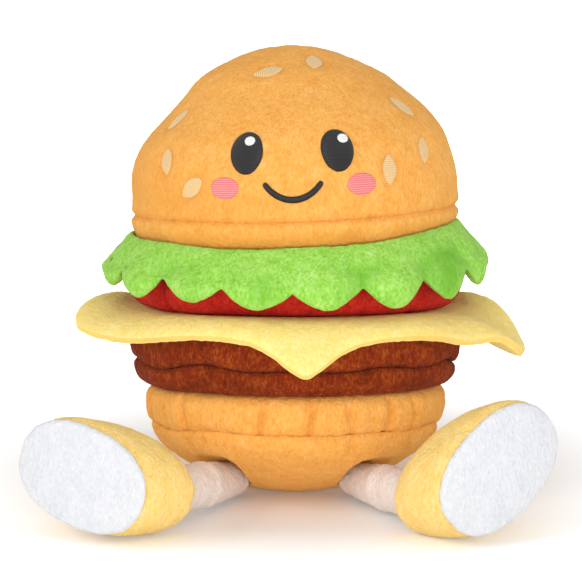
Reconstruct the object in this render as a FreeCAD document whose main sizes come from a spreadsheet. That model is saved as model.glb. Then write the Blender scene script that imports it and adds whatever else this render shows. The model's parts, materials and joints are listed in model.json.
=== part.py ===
"""A stuffed plush hamburger that sits on its flattened bottom bun, with two floppy legs and shoes.

Millimetres and degrees.  +Z is up, -Y is the face side, +X is to the right of someone who faces the toy,
and left and right are named as that person sees them.
The origin is the middle of the flat seat.  The whole stack of layers leans back about the middle of the
ball that shapes the bottom bun, so the seat stays where it is when the lean changes.
"""
import FreeCAD, Part
import math
import os
import Sketcher
from FreeCAD import Rotation, Vector

doc = FreeCAD.newDocument("plush_burger")

# The two legs, and the side of the middle that each is on
SIDES = {"left": -1, "right": 1}

# Largest share of a wall that the rounding of its edge may take
ROUND_LIMIT = 0.9

# Driving dimensions: name, value, meaning
DIMENSIONS = (
    ("fabric_wall", 2.2, "thickness of the plush cover fabric"),
    ("fill_gap", 0.3, "room between a cover and its filling"),
    ("thread_radius", 0.45, "radius of the sewing thread"),
    ("thread_gap", 0.15, "room beside a thread"),
    ("seam_groove", 1.4, "how far a cover is drawn in at a seam"),
    ("lean_angle", 8, "backward lean of the stack"),
    ("base_cut", 4, "height that sitting flattens off the bottom bun"),
    ("bowl_radius", 70, "largest radius of the bottom bun"),
    ("bowl_height", 43, "level of that radius above the lowest point"),
    ("bowl_side_radius", 30, "rounding of the bottom bun's side"),
    ("band_drop", 11, "from the largest radius down to the bottom bun's seam"),
    ("band_rise", 7.5, "from the largest radius to the bottom bun's top"),
    ("bun_top_round", 6, "rounding of the bottom bun's top edge"),
    ("pouch_radius", 24, "radius of the pellet pouch"),
    ("pouch_height", 15, "height of the pellet pouch"),
    ("pouch_lift", 8, "height of the pellet pouch above the seat"),
    ("pouch_wall", 0.8, "thickness of the pouch cloth"),
    ("patty_radius", 77, "radius of the patty above its seam"),
    ("patty_tuck", 1, "how far the patty is drawn in below its seam"),
    ("patty_height", 30.5, "thickness of the patty"),
    ("patty_seam_rise", 11.5, "height of the patty's seam above its underside"),
    ("patty_round", 7, "rounding of the patty's edges"),
    ("cheese_thickness", 4, "thickness of the cheese slice"),
    ("cheese_side", 160, "side of the square cheese slice"),
    ("cheese_margin", 2, "flat cheese beyond the patty before it droops"),
    ("cheese_bend", 22, "inner bend radius of the drooping corners"),
    ("cheese_droop_angle", 55, "slope of the drooping corners"),
    ("cheese_hem", 8, "straight length of a corner below its bend"),
    ("tomato_radius", 79.5, "radius of the tomato"),
    ("tomato_height", 28, "thickness of the tomato"),
    ("tomato_round", 12, "rounding of the tomato's edges"),
    ("lettuce_thickness", 4, "thickness of the padded lettuce leaf"),
    ("lettuce_margin", 4.5, "room between the tomato's edge and the lettuce"),
    ("lettuce_droop_angle", 70, "slope of the hanging lettuce"),
    ("lettuce_hem", 14, "straight length of the lettuce below its bend"),
    ("scallops", 17, "number of scallops round the lettuce"),
    ("scallop_depth", 8, "depth of the notch between two scallops"),
    ("notch_share", 0.83, "share of a scallop's width that its notch takes"),
    ("scallop_turn_angle", 291, "direction of the first notch"),
    ("bun_radius", 78, "largest radius of the top bun"),
    ("bun_lower_round", 10, "rounding of the top bun's lower edge"),
    ("crown_seam_rise", 16, "height of the crown seam above the underside"),
    ("bun_side_rise", 28, "height where the top bun starts to round over"),
    ("crown_side_radius", 38, "rounding of the top bun's side"),
    ("crown_shoulder_angle", 45, "slope of the top bun's shoulder"),
    ("shoulder_run", 20.2, "width of the straight shoulder of the top bun"),
    ("embroidery_height", 0.9, "thickness of an embroidered patch"),
    ("embroidery_gap", 0.1, "room under an embroidered patch"),
    ("eye_apart", 20, "half the distance between the eyes"),
    ("eye_rise", 46, "height of the eyes above the top bun's underside"),
    ("eye_half_height", 10.5, "half the height of an eye"),
    ("eye_half_width", 7.5, "half the width of an eye"),
    ("glint_height", 0.5, "thickness of the white highlight in an eye"),
    ("glint_radius", 2.4, "radius of the white highlight in an eye"),
    ("glint_rise", 4, "height of the highlight above the eye's middle"),
    ("glint_shift", 2, "sideways place of the highlight in the eye"),
    ("cheek_apart", 31, "half the distance between the cheeks"),
    ("cheek_rise", 31, "height of the cheeks above the top bun's underside"),
    ("cheek_half_width", 7, "half the width of a cheek"),
    ("cheek_half_height", 4.5, "half the height of a cheek"),
    ("smile_rise", 42, "height of the middle of the smile's arc"),
    ("smile_radius", 16, "radius of the smile's arc"),
    ("smile_width", 2.6, "width of the smile's stitching"),
    ("smile_angle", 110, "angle of the smile's arc"),
    ("seed_half_length", 6.4, "half the length of a sesame seed"),
    ("seed_half_width", 3.6, "half the width of a sesame seed"),
    ("hip_floor_gap", 1.2, "height of the hollow at the hip above the floor"),
    ("hip_ball", 7, "radius of the gathered root of a leg"),
    ("hip_waist_angle", 45, "direction of the waist below the root, from the leg's axis"),
    ("hip_stitch_radius", 2.2, "radius of the ring of stitches on the root"),
    ("hip_sweep_angle", 19, "room for the leg's root to turn in the bun"),
    ("hip_room", 0.8, "room beside the turning root"),
    ("hip_flare", 26, "length of the hollow in the bun for the root"),
    ("leg_radius", 10.5, "radius of the leg"),
    ("leg_taper", 18, "length over which the root widens to the leg"),
    ("leg_length", 60, "from the hip to the end of the leg in the shoe"),
    ("left_hip_angle", 36, "place of the left hip round the bun, from straight ahead"),
    ("right_hip_angle", 35, "place of the right hip round the bun, from straight ahead"),
    ("left_splay_angle", 29, "direction of the left leg, from straight ahead"),
    ("right_splay_angle", 29, "direction of the right leg, from straight ahead"),
    ("left_toe_angle", 77, "outward roll of the left toe, from upright"),
    ("right_toe_angle", 45, "outward roll of the right toe, from upright"),
    ("cuff_overlap", 8, "length of leg inside the shoe's cuff"),
    ("cuff_gap", 0.4, "room between the leg and the cuff"),
    ("cuff_wall", 1.7, "thickness of the cuff"),
    ("instep_reach", 12, "from the cuff to the instep"),
    ("instep_half_length", 30, "half the length of the shoe at the instep"),
    ("instep_half_width", 21.5, "half the width of the shoe at the instep"),
    ("instep_shift", 15, "how far the instep lies toward the toe"),
    ("shoe_depth", 36, "from the cuff to the sole"),
    ("shoe_half_length", 33.5, "half the length of the sole"),
    ("shoe_half_width", 23, "half the width of the sole"),
    ("shoe_shift", 24, "how far the sole lies toward the toe"),
    ("shoe_floor_gap", 0.3, "height of the shoes above the floor"),
    ("sole_thickness", 4, "thickness of the padded sole"),
    ("sole_round", 1.6, "rounding of the sole's edge"),
)

dims = doc.addObject("Spreadsheet::Sheet", "dims")
for row, (alias, value, meaning) in enumerate(DIMENSIONS, start=1):
    dims.set(f"A{row}", meaning)
    dims.set(f"B{row}", str(value))
    dims.setAlias(f"B{row}", alias)
doc.recompute()

# Levels and radii that follow from the driving dimensions; levels are along the leaning stack
WORKED = (
    ("bowl_bottom_radius",
     "((dims.bowl_radius - dims.bowl_side_radius)^2 + dims.bowl_height^2 - dims.bowl_side_radius^2)"
     " / (2 * (dims.bowl_height - dims.bowl_side_radius))"),
    ("ball_middle", "worked.bowl_bottom_radius - dims.base_cut"),
    ("stack_y", "-worked.bowl_bottom_radius * sin(dims.lean_angle)"),
    ("stack_z", "worked.ball_middle - worked.bowl_bottom_radius * cos(dims.lean_angle)"),
    ("bowl_side_middle", "dims.bowl_radius - dims.bowl_side_radius"),
    ("bowl_out", "worked.bowl_side_middle / (worked.bowl_bottom_radius - dims.bowl_side_radius)"),
    ("bowl_down",
     "(dims.bowl_height - worked.bowl_bottom_radius) / (worked.bowl_bottom_radius - dims.bowl_side_radius)"),
    ("bowl_seam", "dims.bowl_height - dims.band_drop"),
    ("stitch_room", "dims.thread_radius + dims.thread_gap"),
    ("thread_seat", "(1 + sqrt(2)) * worked.stitch_room"),
    ("bun_top", "dims.bowl_height + dims.band_rise"),
    ("bun_top_round", f"min(dims.bun_top_round; {ROUND_LIMIT} * dims.band_rise)"),
    ("patty_seam", "worked.bun_top + dims.patty_seam_rise"),
    ("patty_round",
     f"min(dims.patty_round; {ROUND_LIMIT} * (min(dims.patty_seam_rise;"
     " dims.patty_height - dims.patty_seam_rise) - dims.seam_groove))"),
    ("patty_lower_radius", "dims.patty_radius - dims.patty_tuck"),
    ("patty_top", "worked.bun_top + dims.patty_height"),
    ("cheese_top", "worked.patty_top + dims.cheese_thickness"),
    ("tomato_top", "worked.cheese_top + dims.tomato_height"),
    ("tomato_round", f"min(dims.tomato_round; {ROUND_LIMIT} * dims.tomato_height / 2)"),
    ("lettuce_top", "worked.tomato_top + dims.lettuce_thickness"),
    ("lettuce_bend_at", "dims.tomato_radius - worked.tomato_round + dims.lettuce_margin"),
    ("lettuce_crease",
     "2 * worked.tomato_round * worked.stitch_room / dims.lettuce_margin + dims.lettuce_margin / 2"),
    ("lettuce_reach",
     "worked.lettuce_bend_at + (worked.tomato_round + dims.lettuce_thickness) * sin(dims.lettuce_droop_angle)"
     " + dims.lettuce_hem * cos(dims.lettuce_droop_angle)"),
    ("crown_seam", "worked.lettuce_top + dims.crown_seam_rise"),
    ("bun_lower_round",
     f"min(dims.bun_lower_round; {ROUND_LIMIT} * (dims.crown_seam_rise - dims.seam_groove))"),
    ("side_level", "worked.lettuce_top + dims.bun_side_rise"),
    ("crown_radius",
     "dims.crown_side_radius"
     " + (dims.bun_radius - dims.crown_side_radius - dims.shoulder_run) / sin(dims.crown_shoulder_angle)"),
    ("crown_middle",
     "worked.side_level + (dims.crown_side_radius - worked.crown_radius) * cos(dims.crown_shoulder_angle)"
     " + dims.shoulder_run * tan(dims.crown_shoulder_angle)"),
    ("cuff_start", "dims.leg_length - dims.cuff_overlap"),
    ("hip_stitch_reach", "dims.hip_ball + worked.stitch_room"),
    ("hip_socket", "worked.hip_stitch_reach + worked.stitch_room"),
    ("hip_height", "max(worked.hip_socket + dims.hip_floor_gap; dims.leg_radius - dims.hip_floor_gap)"),
    ("hip_reach", "sqrt(worked.bowl_bottom_radius^2 - (worked.ball_middle - worked.hip_height)^2)"),
    ("hip_flare_radius",
     "worked.hip_socket + (dims.hip_flare / dims.leg_taper) * (dims.leg_taper * tan(dims.hip_sweep_angle)"
     " + dims.leg_radius / cos(dims.hip_sweep_angle) + dims.hip_room - worked.hip_socket)"),
    ("instep_ahead", "worked.cuff_start + dims.instep_reach"),
    ("welt_ahead", "worked.cuff_start + dims.shoe_depth"),
)


def shoe_rest(side):
    """The slope of a leg at which its shoe just clears the floor, at the instep and at the welt."""
    toe = f"dims.{side}_toe_angle"
    for part, size in (("instep", "instep"), ("welt", "shoe")):
        yield (f"{side}_{part}_drop",
               f"sqrt((dims.{size}_half_length * cos({toe}))^2 + (dims.{size}_half_width * sin({toe}))^2)"
               f" - dims.{size}_shift * cos({toe})")
        yield (f"{side}_{part}_rise",
               f"(asin((dims.shoe_floor_gap - worked.hip_height)"
               f" / sqrt(worked.{part}_ahead^2 + worked.{side}_{part}_drop^2))"
               f" + atan(worked.{side}_{part}_drop / worked.{part}_ahead)) / 1 deg")
    yield f"{side}_rise", f"max(worked.{side}_instep_rise; worked.{side}_welt_rise)"


worked = doc.addObject("App::VarSet", "worked")
for name, formula in (*WORKED, *shoe_rest("left"), *shoe_rest("right")):
    worked.addProperty("App::PropertyFloat", name)
    worked.setExpression(name, formula)
    doc.recompute()

nodes = {}


def number(formula):
    """The present value of a formula of the sheet's names."""
    value = worked.evalExpression(formula)
    return float(getattr(value, "Value", value))


def keep(obj, node):
    """Label an object as a sub-part, so that it is written out under that name."""
    obj.Label = node
    nodes[node] = obj
    return obj


def lean(obj, level="0"):
    """Set an object that is modelled about the stack's axis into the leaning stack, at a level."""
    obj.setExpression("Placement", (
        f"placement(vector(0; worked.stack_y + ({level}) * sin(dims.lean_angle);"
        f" worked.stack_z + ({level}) * cos(dims.lean_angle)); rotation(vector(1; 0; 0); -dims.lean_angle))"))
    return obj


def sketch_on(body, role):
    """A new sketch of a body, on one of the body's own origin planes."""
    sketch = body.newObject("Sketcher::SketchObject", body.Name + "_sketch")
    plane = next(f for f in body.Origin.OriginFeatures if f.Role == role)
    sketch.AttachmentSupport = (plane, [""])
    sketch.MapMode = "FlatFace"
    return sketch


def arc_through(start, end, radius, bulge):
    """The arc shorter than a half turn from start to end that bulges left or right of that way."""
    middle = (start + end) * 0.5
    way = end - start
    aside = Vector(-way.y, way.x, 0).normalize()
    depth = math.sqrt(max(radius ** 2 - (way.Length / 2) ** 2, 0.0))
    turn = 1 if bulge == "right" else -1
    centre = middle + aside * (depth * turn)
    first, last = (start, end) if turn > 0 else (end, start)
    angles = [math.atan2(p.y - centre.y, p.x - centre.x) for p in (first, last)]
    circle = Part.Circle(centre, Vector(0, 0, 1), radius)
    return Part.ArcOfCircle(circle, angles[0], angles[1])


def draw(sketch, corners):
    """Draw a closed outline of lines and arcs, with every corner and radius tied to the sheet.

    A corner is (x, y), or (x, y, radius, bulge) where the edge that leaves it is an arc.
    """
    points = [Vector(number(c[0]), number(c[1]), 0) for c in corners]
    edges = []
    for i, corner in enumerate(corners):
        start, end = points[i], points[(i + 1) % len(points)]
        if len(corner) == 2:
            edges.append((sketch.addGeometry(Part.LineSegment(start, end)), 1, 2))
        else:
            arc = arc_through(start, end, number(corner[2]), corner[3])
            ends = (1, 2) if corner[3] == "right" else (2, 1)
            edges.append((sketch.addGeometry(arc), *ends))
    for i, (edge, _, end) in enumerate(edges):
        following, start, _ = edges[(i + 1) % len(edges)]
        sketch.addConstraint(Sketcher.Constraint("Coincident", edge, end, following, start))
    for i, corner in enumerate(corners):
        edge, start, _ = edges[i]
        for kind, axis, formula, value in (
                ("DistanceX", -2, corner[0], points[i].x), ("DistanceY", -1, corner[1], points[i].y)):
            if formula == "0":
                sketch.addConstraint(Sketcher.Constraint("PointOnObject", edge, start, axis))
                continue
            index = sketch.addConstraint(Sketcher.Constraint(kind, -1, 1, edge, start, value))
            sketch.setExpression(f"Constraints[{index}]", formula)
        if len(corner) > 2:
            index = sketch.addConstraint(Sketcher.Constraint("Radius", edge, number(corner[2])))
            sketch.setExpression(f"Constraints[{index}]", corner[2])


def turned(name, corners, axis="V_Axis"):
    """A body turned from an outline: about the stack's axis, or about a leg's own axis (H_Axis)."""
    body = doc.addObject("PartDesign::Body", name)
    sketch = sketch_on(body, "XZ_Plane")
    draw(sketch, corners)
    revolution = body.newObject("PartDesign::Revolution", name + "_turn")
    revolution.Profile = sketch
    revolution.ReferenceAxis = (sketch, [axis])
    revolution.Angle = 360
    return body


def cut(name, base, *tools):
    """Base less one or more tools."""
    for index, tool in enumerate(tools):
        step = doc.addObject("Part::Cut", name if index == len(tools) - 1 else f"{name}_step_{index}")
        step.Base = base
        step.Tool = tool
        base = step
    return base


def common(name, base, tool):
    """What two objects share."""
    shared = doc.addObject("Part::Common", name)
    shared.Base = base
    shared.Tool = tool
    return shared


def thread_ring(node, radius, level):
    """A ring of sewing thread round the stack."""
    ring = doc.addObject("Part::Torus", node)
    ring.setExpression("Radius1", radius)
    ring.setExpression("Radius2", "dims.thread_radius")
    return keep(lean(ring, level), node)


def floor_block(name, top):
    """Everything below a level of the floor, to flatten what sits on it."""
    block = doc.addObject("Part::Box", name)
    for side in ("Length", "Width"):
        block.setExpression(side, "4 * dims.bowl_radius")
    block.setExpression("Height", "2 * dims.bowl_radius")
    block.setExpression("Placement", (
        f"placement(vector(-2 * dims.bowl_radius; -2 * dims.bowl_radius; ({top}) - 2 * dims.bowl_radius);"
        " rotation(0; 0; 0))"))
    return block


# Outline of the bottom bun, drawn in by an inset


def bowl_radius_at(level, inset):
    """Radius of the bun's rounded side at a level below its largest radius."""
    return (f"(worked.bowl_side_middle + sqrt((dims.bowl_side_radius - ({inset}))^2"
            f" - (dims.bowl_height - ({level}))^2))")


def bowl_rise(inset):
    """The outline from the lowest point up to where the side's rounding begins."""
    bend = f"(dims.bowl_side_radius - ({inset}))"
    return (
        ("0", inset, f"worked.bowl_bottom_radius - ({inset})", "right"),
        (f"worked.bowl_side_middle + {bend} * worked.bowl_out",
         f"dims.bowl_height + {bend} * worked.bowl_down", bend, "right"),
    )


def bun_shoulder(inset):
    """The outline from the largest radius up and over the top edge to the top panel."""
    edge = f"(worked.bun_top_round - ({inset}))"
    return (
        (f"dims.bowl_radius - ({inset})", "dims.bowl_height"),
        (f"dims.bowl_radius - ({inset})", "worked.bun_top - worked.bun_top_round", edge, "right"),
        ("dims.bowl_radius - worked.bun_top_round", f"worked.bun_top - ({inset})"),
        ("0", f"worked.bun_top - ({inset})"),
    )


def bowl_below(name, inset):
    """The bowl below its seam as a full solid."""
    return turned(name, (
        *bowl_rise(inset),
        (bowl_radius_at("worked.bowl_seam", inset), "worked.bowl_seam"),
        ("0", "worked.bowl_seam"),
    ))


# Legs: a frame at the hip with X along the leg


def hip_place(side, roll="0", ahead="0"):
    """A place on the leg's axis, that far ahead of the hip, rolled about the axis."""
    sign = SIDES[side]
    hip = f"dims.{side}_hip_angle"
    splay = f"dims.{side}_splay_angle"
    rise = f"worked.{side}_rise"
    along = f"({ahead}) * cos({rise})"
    return (f"placement(vector({sign} * (worked.hip_reach * sin({hip}) + {along} * sin({splay}));"
            f" -worked.hip_reach * cos({hip}) - {along} * cos({splay});"
            f" worked.hip_height + ({ahead}) * sin({rise}));"
            f" rotation(-90 + {sign} * {splay}; -{rise}; {roll}))")


def hip_hollow(name, side, wall):
    """The hollow in the bun that a leg's root turns in, grown by a wall."""
    ball = doc.addObject("Part::Sphere", name + "_ball")
    ball.setExpression("Radius", f"worked.hip_socket + ({wall})")
    ball.setExpression("Placement", hip_place(side))
    flare = doc.addObject("Part::Cone", name + "_flare")
    flare.setExpression("Radius1", f"worked.hip_socket + ({wall})")
    flare.setExpression("Radius2", f"worked.hip_flare_radius + ({wall})")
    flare.setExpression("Height", "dims.hip_flare")
    flare.setExpression("Placement", hip_place(side) + " * placement(vector(0; 0; 0); rotation(0; 90; 0))")
    hollow = doc.addObject("Part::Fuse", name)
    hollow.Base = ball
    hollow.Tool = flare
    return hollow


# Bottom bun: a bowl with a flat seat, a band with the top panel, filling and a pouch of pellets


def bottom_bun():
    cover = "dims.fabric_wall"
    inside = "dims.fabric_wall + dims.fill_gap"
    outer = cut("bowl_seated", lean(bowl_below("bowl_outer", "0")), floor_block("floor_outer", "0"))
    inner = cut("bowl_hollow", lean(bowl_below("bowl_inner", cover)), floor_block("floor_inner", cover),
                *[hip_hollow(f"{side}_hip_wall", side, cover) for side in SIDES])
    rooms = [hip_hollow(f"{side}_hip_room", side, "0") for side in SIDES]
    keep(cut("bottom_bun_bowl", outer, *rooms, inner), "bottom_bun_bowl")

    seam, groove = "worked.bowl_seam", "dims.seam_groove"
    side, inner_side = "dims.bowl_side_radius", f"dims.bowl_side_radius - {cover}"
    band = turned("bottom_bun_band", (
        (f"{bowl_radius_at(seam, '0')} - {groove}", seam),
        (bowl_radius_at(f"{seam} + {groove}", "0"), f"{seam} + {groove}", side, "right"),
        *bun_shoulder("0"),
        ("0", f"worked.bun_top - {cover}"),
        ("dims.bowl_radius - worked.bun_top_round", f"worked.bun_top - {cover}",
         f"worked.bun_top_round - {cover}", "left"),
        (f"dims.bowl_radius - {cover}", "worked.bun_top - worked.bun_top_round"),
        (f"dims.bowl_radius - {cover}", "dims.bowl_height", inner_side, "left"),
        (bowl_radius_at(seam, cover), seam),
    ))
    keep(lean(band), "bottom_bun_band")
    thread_ring("bottom_bun_seam_thread", bowl_radius_at(f"{seam} + {groove}", "0"),
                f"{seam} + dims.thread_radius + dims.thread_gap")

    filling = lean(turned("bowl_fill", (*bowl_rise(inside), *bun_shoulder(inside))))
    pouch_room = pouch_solid("pouch_room", "-dims.fill_gap")
    filling = cut("bottom_bun_filling", filling, floor_block("floor_fill", inside), pouch_room,
                  *[hip_hollow(f"{side}_hip_fill", side, inside) for side in SIDES])
    keep(filling, "bottom_bun_filling")
    pouch = cut("pellet_pouch", pouch_solid("pouch_outer", "0"),
                pouch_solid("pouch_inner", "dims.pouch_wall"))
    keep(pouch, "pellet_pouch")
    keep(pouch_solid("pellets", "dims.pouch_wall + dims.fill_gap"), "pellets")


def pouch_solid(name, inset):
    """The round pouch in the bottom bun, drawn in by an inset."""
    solid = doc.addObject("Part::Cylinder", name)
    solid.setExpression("Radius", f"dims.pouch_radius - ({inset})")
    solid.setExpression("Height", f"dims.pouch_height - 2 * ({inset})")
    solid.setExpression("Placement",
                        f"placement(vector(0; 0; dims.pouch_lift + ({inset})); rotation(0; 0; 0))")
    return solid


# Patty: an upper and a lower cover that meet at a seam


def patty():
    cover = "dims.fabric_wall"
    groove = "dims.seam_groove"
    inside = "dims.fabric_wall + dims.fill_gap"
    low, high, edge = "worked.patty_lower_radius", "dims.patty_radius", "worked.patty_round"
    under, seam, top = "worked.bun_top", "worked.patty_seam", "worked.patty_top"
    keep(lean(turned("patty_lower_cover", (
        ("0", under),
        (f"{low} - {edge}", under, edge, "right"),
        (low, f"{under} + {edge}"),
        (low, f"{seam} - {groove}"),
        (f"{low} - {groove}", seam),
        (f"{low} - {cover}", seam),
        (f"{low} - {cover}", f"{under} + {edge}", f"{edge} - {cover}", "left"),
        (f"{low} - {edge}", f"{under} + {cover}"),
        ("0", f"{under} + {cover}"),
    ))), "patty_lower_cover")
    keep(lean(turned("patty_upper_cover", (
        ("0", top),
        (f"{high} - {edge}", top, edge, "left"),
        (high, f"{top} - {edge}"),
        (high, f"{seam} + {groove}"),
        (f"{low} - {groove}", seam),
        (f"{low} - {cover}", seam),
        (f"{high} - {cover}", f"{seam} + {groove}"),
        (f"{high} - {cover}", f"{top} - {edge}", f"{edge} - {cover}", "right"),
        (f"{high} - {edge}", f"{top} - {cover}"),
        ("0", f"{top} - {cover}"),
    ))), "patty_upper_cover")
    keep(lean(turned("patty_filling", (
        ("0", f"{under} + {inside}"),
        (f"{low} - {edge}", f"{under} + {inside}", f"{edge} - ({inside})", "right"),
        (f"{low} - ({inside})", f"{under} + {edge}"),
        (f"{low} - ({inside})", f"{top} - {edge}", f"{edge} - ({inside})", "right"),
        (f"{low} - {edge}", f"{top} - ({inside})"),
        ("0", f"{top} - ({inside})"),
    ))), "patty_filling")
    thread_ring("patty_seam_thread", f"{low} - {groove} + worked.thread_seat", seam)


# Drooping sheets: the cheese slice and the lettuce leaf


def drooping_sheet(name, underside, thickness, bend_at, bend, droop, hem):
    """A round padded sheet, flat in the middle, that bends down past a radius and hangs by a hem."""
    outer = f"({bend} + {thickness})"
    hem_out = f"{hem} * cos({droop})"
    hem_down = f"{hem} * sin({droop})"
    return turned(name, (
        ("0", f"{underside} + {thickness}"),
        (bend_at, f"{underside} + {thickness}", outer, "left"),
        (f"{bend_at} + {outer} * sin({droop})", f"{underside} + {thickness} - {outer} * (1 - cos({droop}))"),
        (f"{bend_at} + {outer} * sin({droop}) + {hem_out}",
         f"{underside} + {thickness} - {outer} * (1 - cos({droop})) - {hem_down}"),
        (f"{bend_at} + {bend} * sin({droop}) + {hem_out}",
         f"{underside} - {bend} * (1 - cos({droop})) - {hem_down}"),
        (f"{bend_at} + {bend} * sin({droop})", f"{underside} - {bend} * (1 - cos({droop}))", bend, "right"),
        (bend_at, underside),
        ("0", underside),
    ))


def cheese():
    disc = drooping_sheet("cheese_disc", "worked.patty_top", "dims.cheese_thickness",
                          "(dims.patty_radius + dims.cheese_margin)", "dims.cheese_bend",
                          "dims.cheese_droop_angle", "dims.cheese_hem")
    square = doc.addObject("Part::Box", "cheese_square")
    square.setExpression("Length", "dims.cheese_side")
    square.setExpression("Width", "dims.cheese_side")
    square.setExpression("Height", "worked.tomato_top")
    square.setExpression("Placement",
                         "placement(vector(0; -dims.cheese_side / sqrt(2); 0); rotation(45; 0; 0))")
    keep(lean(common("cheese_slice", disc, square)), "cheese_slice")


def lettuce():
    leaf = drooping_sheet("lettuce_leaf", "worked.tomato_top", "dims.lettuce_thickness",
                          "worked.lettuce_bend_at", "worked.tomato_round", "dims.lettuce_droop_angle",
                          "dims.lettuce_hem")
    notch = sketch_on(leaf, "XY_Plane")
    notch.setExpression("AttachmentOffset", (
        "placement(vector(0; 0; 0); rotation(dims.scallop_turn_angle; 0; 0))"))
    half = "worked.lettuce_reach * tan(180 * dims.notch_share / dims.scallops)"
    draw(notch, (
        ("worked.lettuce_reach - dims.scallop_depth", "0"),
        ("worked.lettuce_reach + dims.lettuce_thickness", f"-({half})"),
        ("worked.lettuce_reach + dims.lettuce_thickness", half),
    ))
    pocket = leaf.newObject("PartDesign::Pocket", "scallop_notch")
    pocket.Profile = notch
    pocket.Type = "ThroughAll"
    pocket.Reversed = True
    doc.recompute()
    pattern = leaf.newObject("PartDesign::PolarPattern", "scallop_ring")
    pattern.Originals = [pocket]
    pattern.Axis = (notch, ["N_Axis"])
    pattern.Angle = 360
    pattern.setExpression("Occurrences", "dims.scallops")
    leaf.Tip = pattern
    keep(lean(leaf), "lettuce_leaf")


# Tomato: one padded disc


def tomato_disc(name, inset):
    """The tomato's outline drawn in by an inset."""
    edge = f"(worked.tomato_round - ({inset}))"
    side = f"dims.tomato_radius - ({inset})"
    flat = "dims.tomato_radius - worked.tomato_round"
    under, top = f"worked.cheese_top + ({inset})", f"worked.tomato_top - ({inset})"
    return turned(name, (
        ("0", under),
        (flat, under, edge, "right"),
        (side, "worked.cheese_top + worked.tomato_round"),
        (side, "worked.tomato_top - worked.tomato_round", edge, "right"),
        (flat, top),
        ("0", top),
    ))


def tomato():
    shell = cut("tomato_cover", tomato_disc("tomato_outer", "0"),
                tomato_disc("tomato_inner", "dims.fabric_wall"))
    keep(lean(shell), "tomato_cover")
    keep(lean(tomato_disc("tomato_filling", "dims.fabric_wall + dims.fill_gap")), "tomato_filling")


# Top bun: a crown sewn to a base, with embroidery on the crown


def crown_outline(grow, upward):
    """The crown's outline grown outward, from its seam to the top or back down."""
    side, top = f"(dims.crown_side_radius + ({grow}))", f"(worked.crown_radius + ({grow}))"
    slope = "dims.crown_shoulder_angle"
    seam = (f"dims.bun_radius + ({grow})", "worked.crown_seam")
    level = (f"dims.bun_radius + ({grow})", "worked.side_level")
    shoulder = (f"dims.bun_radius - dims.crown_side_radius + {side} * sin({slope})",
                f"worked.side_level + {side} * cos({slope})")
    brow = (f"{top} * sin({slope})", f"worked.crown_middle + {top} * cos({slope})")
    peak = ("0", f"worked.crown_middle + {top}")
    if upward:
        return (seam, (*level, side, "right"), shoulder, (*brow, top, "right"), peak)
    return ((*peak, top, "left"), brow, (*shoulder, side, "left"), level, seam)


def crown_layer(name, inner, outer):
    """A layer of cloth or thread over the whole crown, between two growths of its outline."""
    return turned(name, (*crown_outline(outer, True), *crown_outline(inner, False)))


def top_bun():
    cover, groove, edge = "dims.fabric_wall", "dims.seam_groove", "worked.bun_lower_round"
    inside = "dims.fabric_wall + dims.fill_gap"
    seam, *rest = crown_outline("0", True)
    crown = turned("top_bun_crown", (
        (f"dims.bun_radius - {groove}", "worked.crown_seam"),
        (seam[0], f"worked.crown_seam + {groove}"),
        *rest, *crown_outline(f"-{cover}", False)))
    keep(lean(crown), "top_bun_crown")
    keep(lean(turned("top_bun_base", (
        ("0", "worked.lettuce_top"),
        (f"dims.bun_radius - {edge}", "worked.lettuce_top", edge, "right"),
        ("dims.bun_radius", f"worked.lettuce_top + {edge}"),
        ("dims.bun_radius", f"worked.crown_seam - {groove}"),
        (f"dims.bun_radius - {groove}", "worked.crown_seam"),
        (f"dims.bun_radius - {cover}", "worked.crown_seam"),
        (f"dims.bun_radius - {cover}", f"worked.lettuce_top + {edge}", f"{edge} - {cover}", "left"),
        (f"dims.bun_radius - {edge}", f"worked.lettuce_top + {cover}"),
        ("0", f"worked.lettuce_top + {cover}"),
    ))), "top_bun_base")
    keep(lean(turned("top_bun_filling", (
        ("0", f"worked.lettuce_top + {inside}"),
        (f"dims.bun_radius - {edge}", f"worked.lettuce_top + {inside}", f"{edge} - ({inside})", "right"),
        (f"dims.bun_radius - ({inside})", f"worked.lettuce_top + {edge}"),
        *crown_outline(f"-({inside})", True)[1:],
    ))), "top_bun_filling")
    thread_ring("crown_seam_thread", f"dims.bun_radius - {groove} + worked.thread_seat", "worked.crown_seam")


def front_prism(name, across, level, half_width, half_height):
    """An oval prism through the front of the top bun, at a place on the face."""
    oval = doc.addObject("Part::Ellipse", name + "_oval")
    tall = number(half_height) > number(half_width)
    oval.setExpression("MajorRadius", half_height if tall else half_width)
    oval.setExpression("MinorRadius", half_width if tall else half_height)
    spin = "90" if tall else "0"
    oval.setExpression("Placement", (
        f"placement(vector({across}; 0; worked.lettuce_top + {level});"
        f" rotation(vector(1; 0; 0); 90) * rotation({spin}; 0; 0))"))
    return prism_on(oval, Vector(0, -1, 0))


def prism_on(oval, way):
    """A prism from an oval out through the top bun."""
    prism = doc.addObject("Part::Extrusion", oval.Name + "_prism")
    prism.Base = oval
    prism.DirMode = "Custom"
    prism.Dir = way
    prism.setExpression("LengthFwd", "2 * dims.bun_radius")
    prism.Solid = True
    return prism


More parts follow.
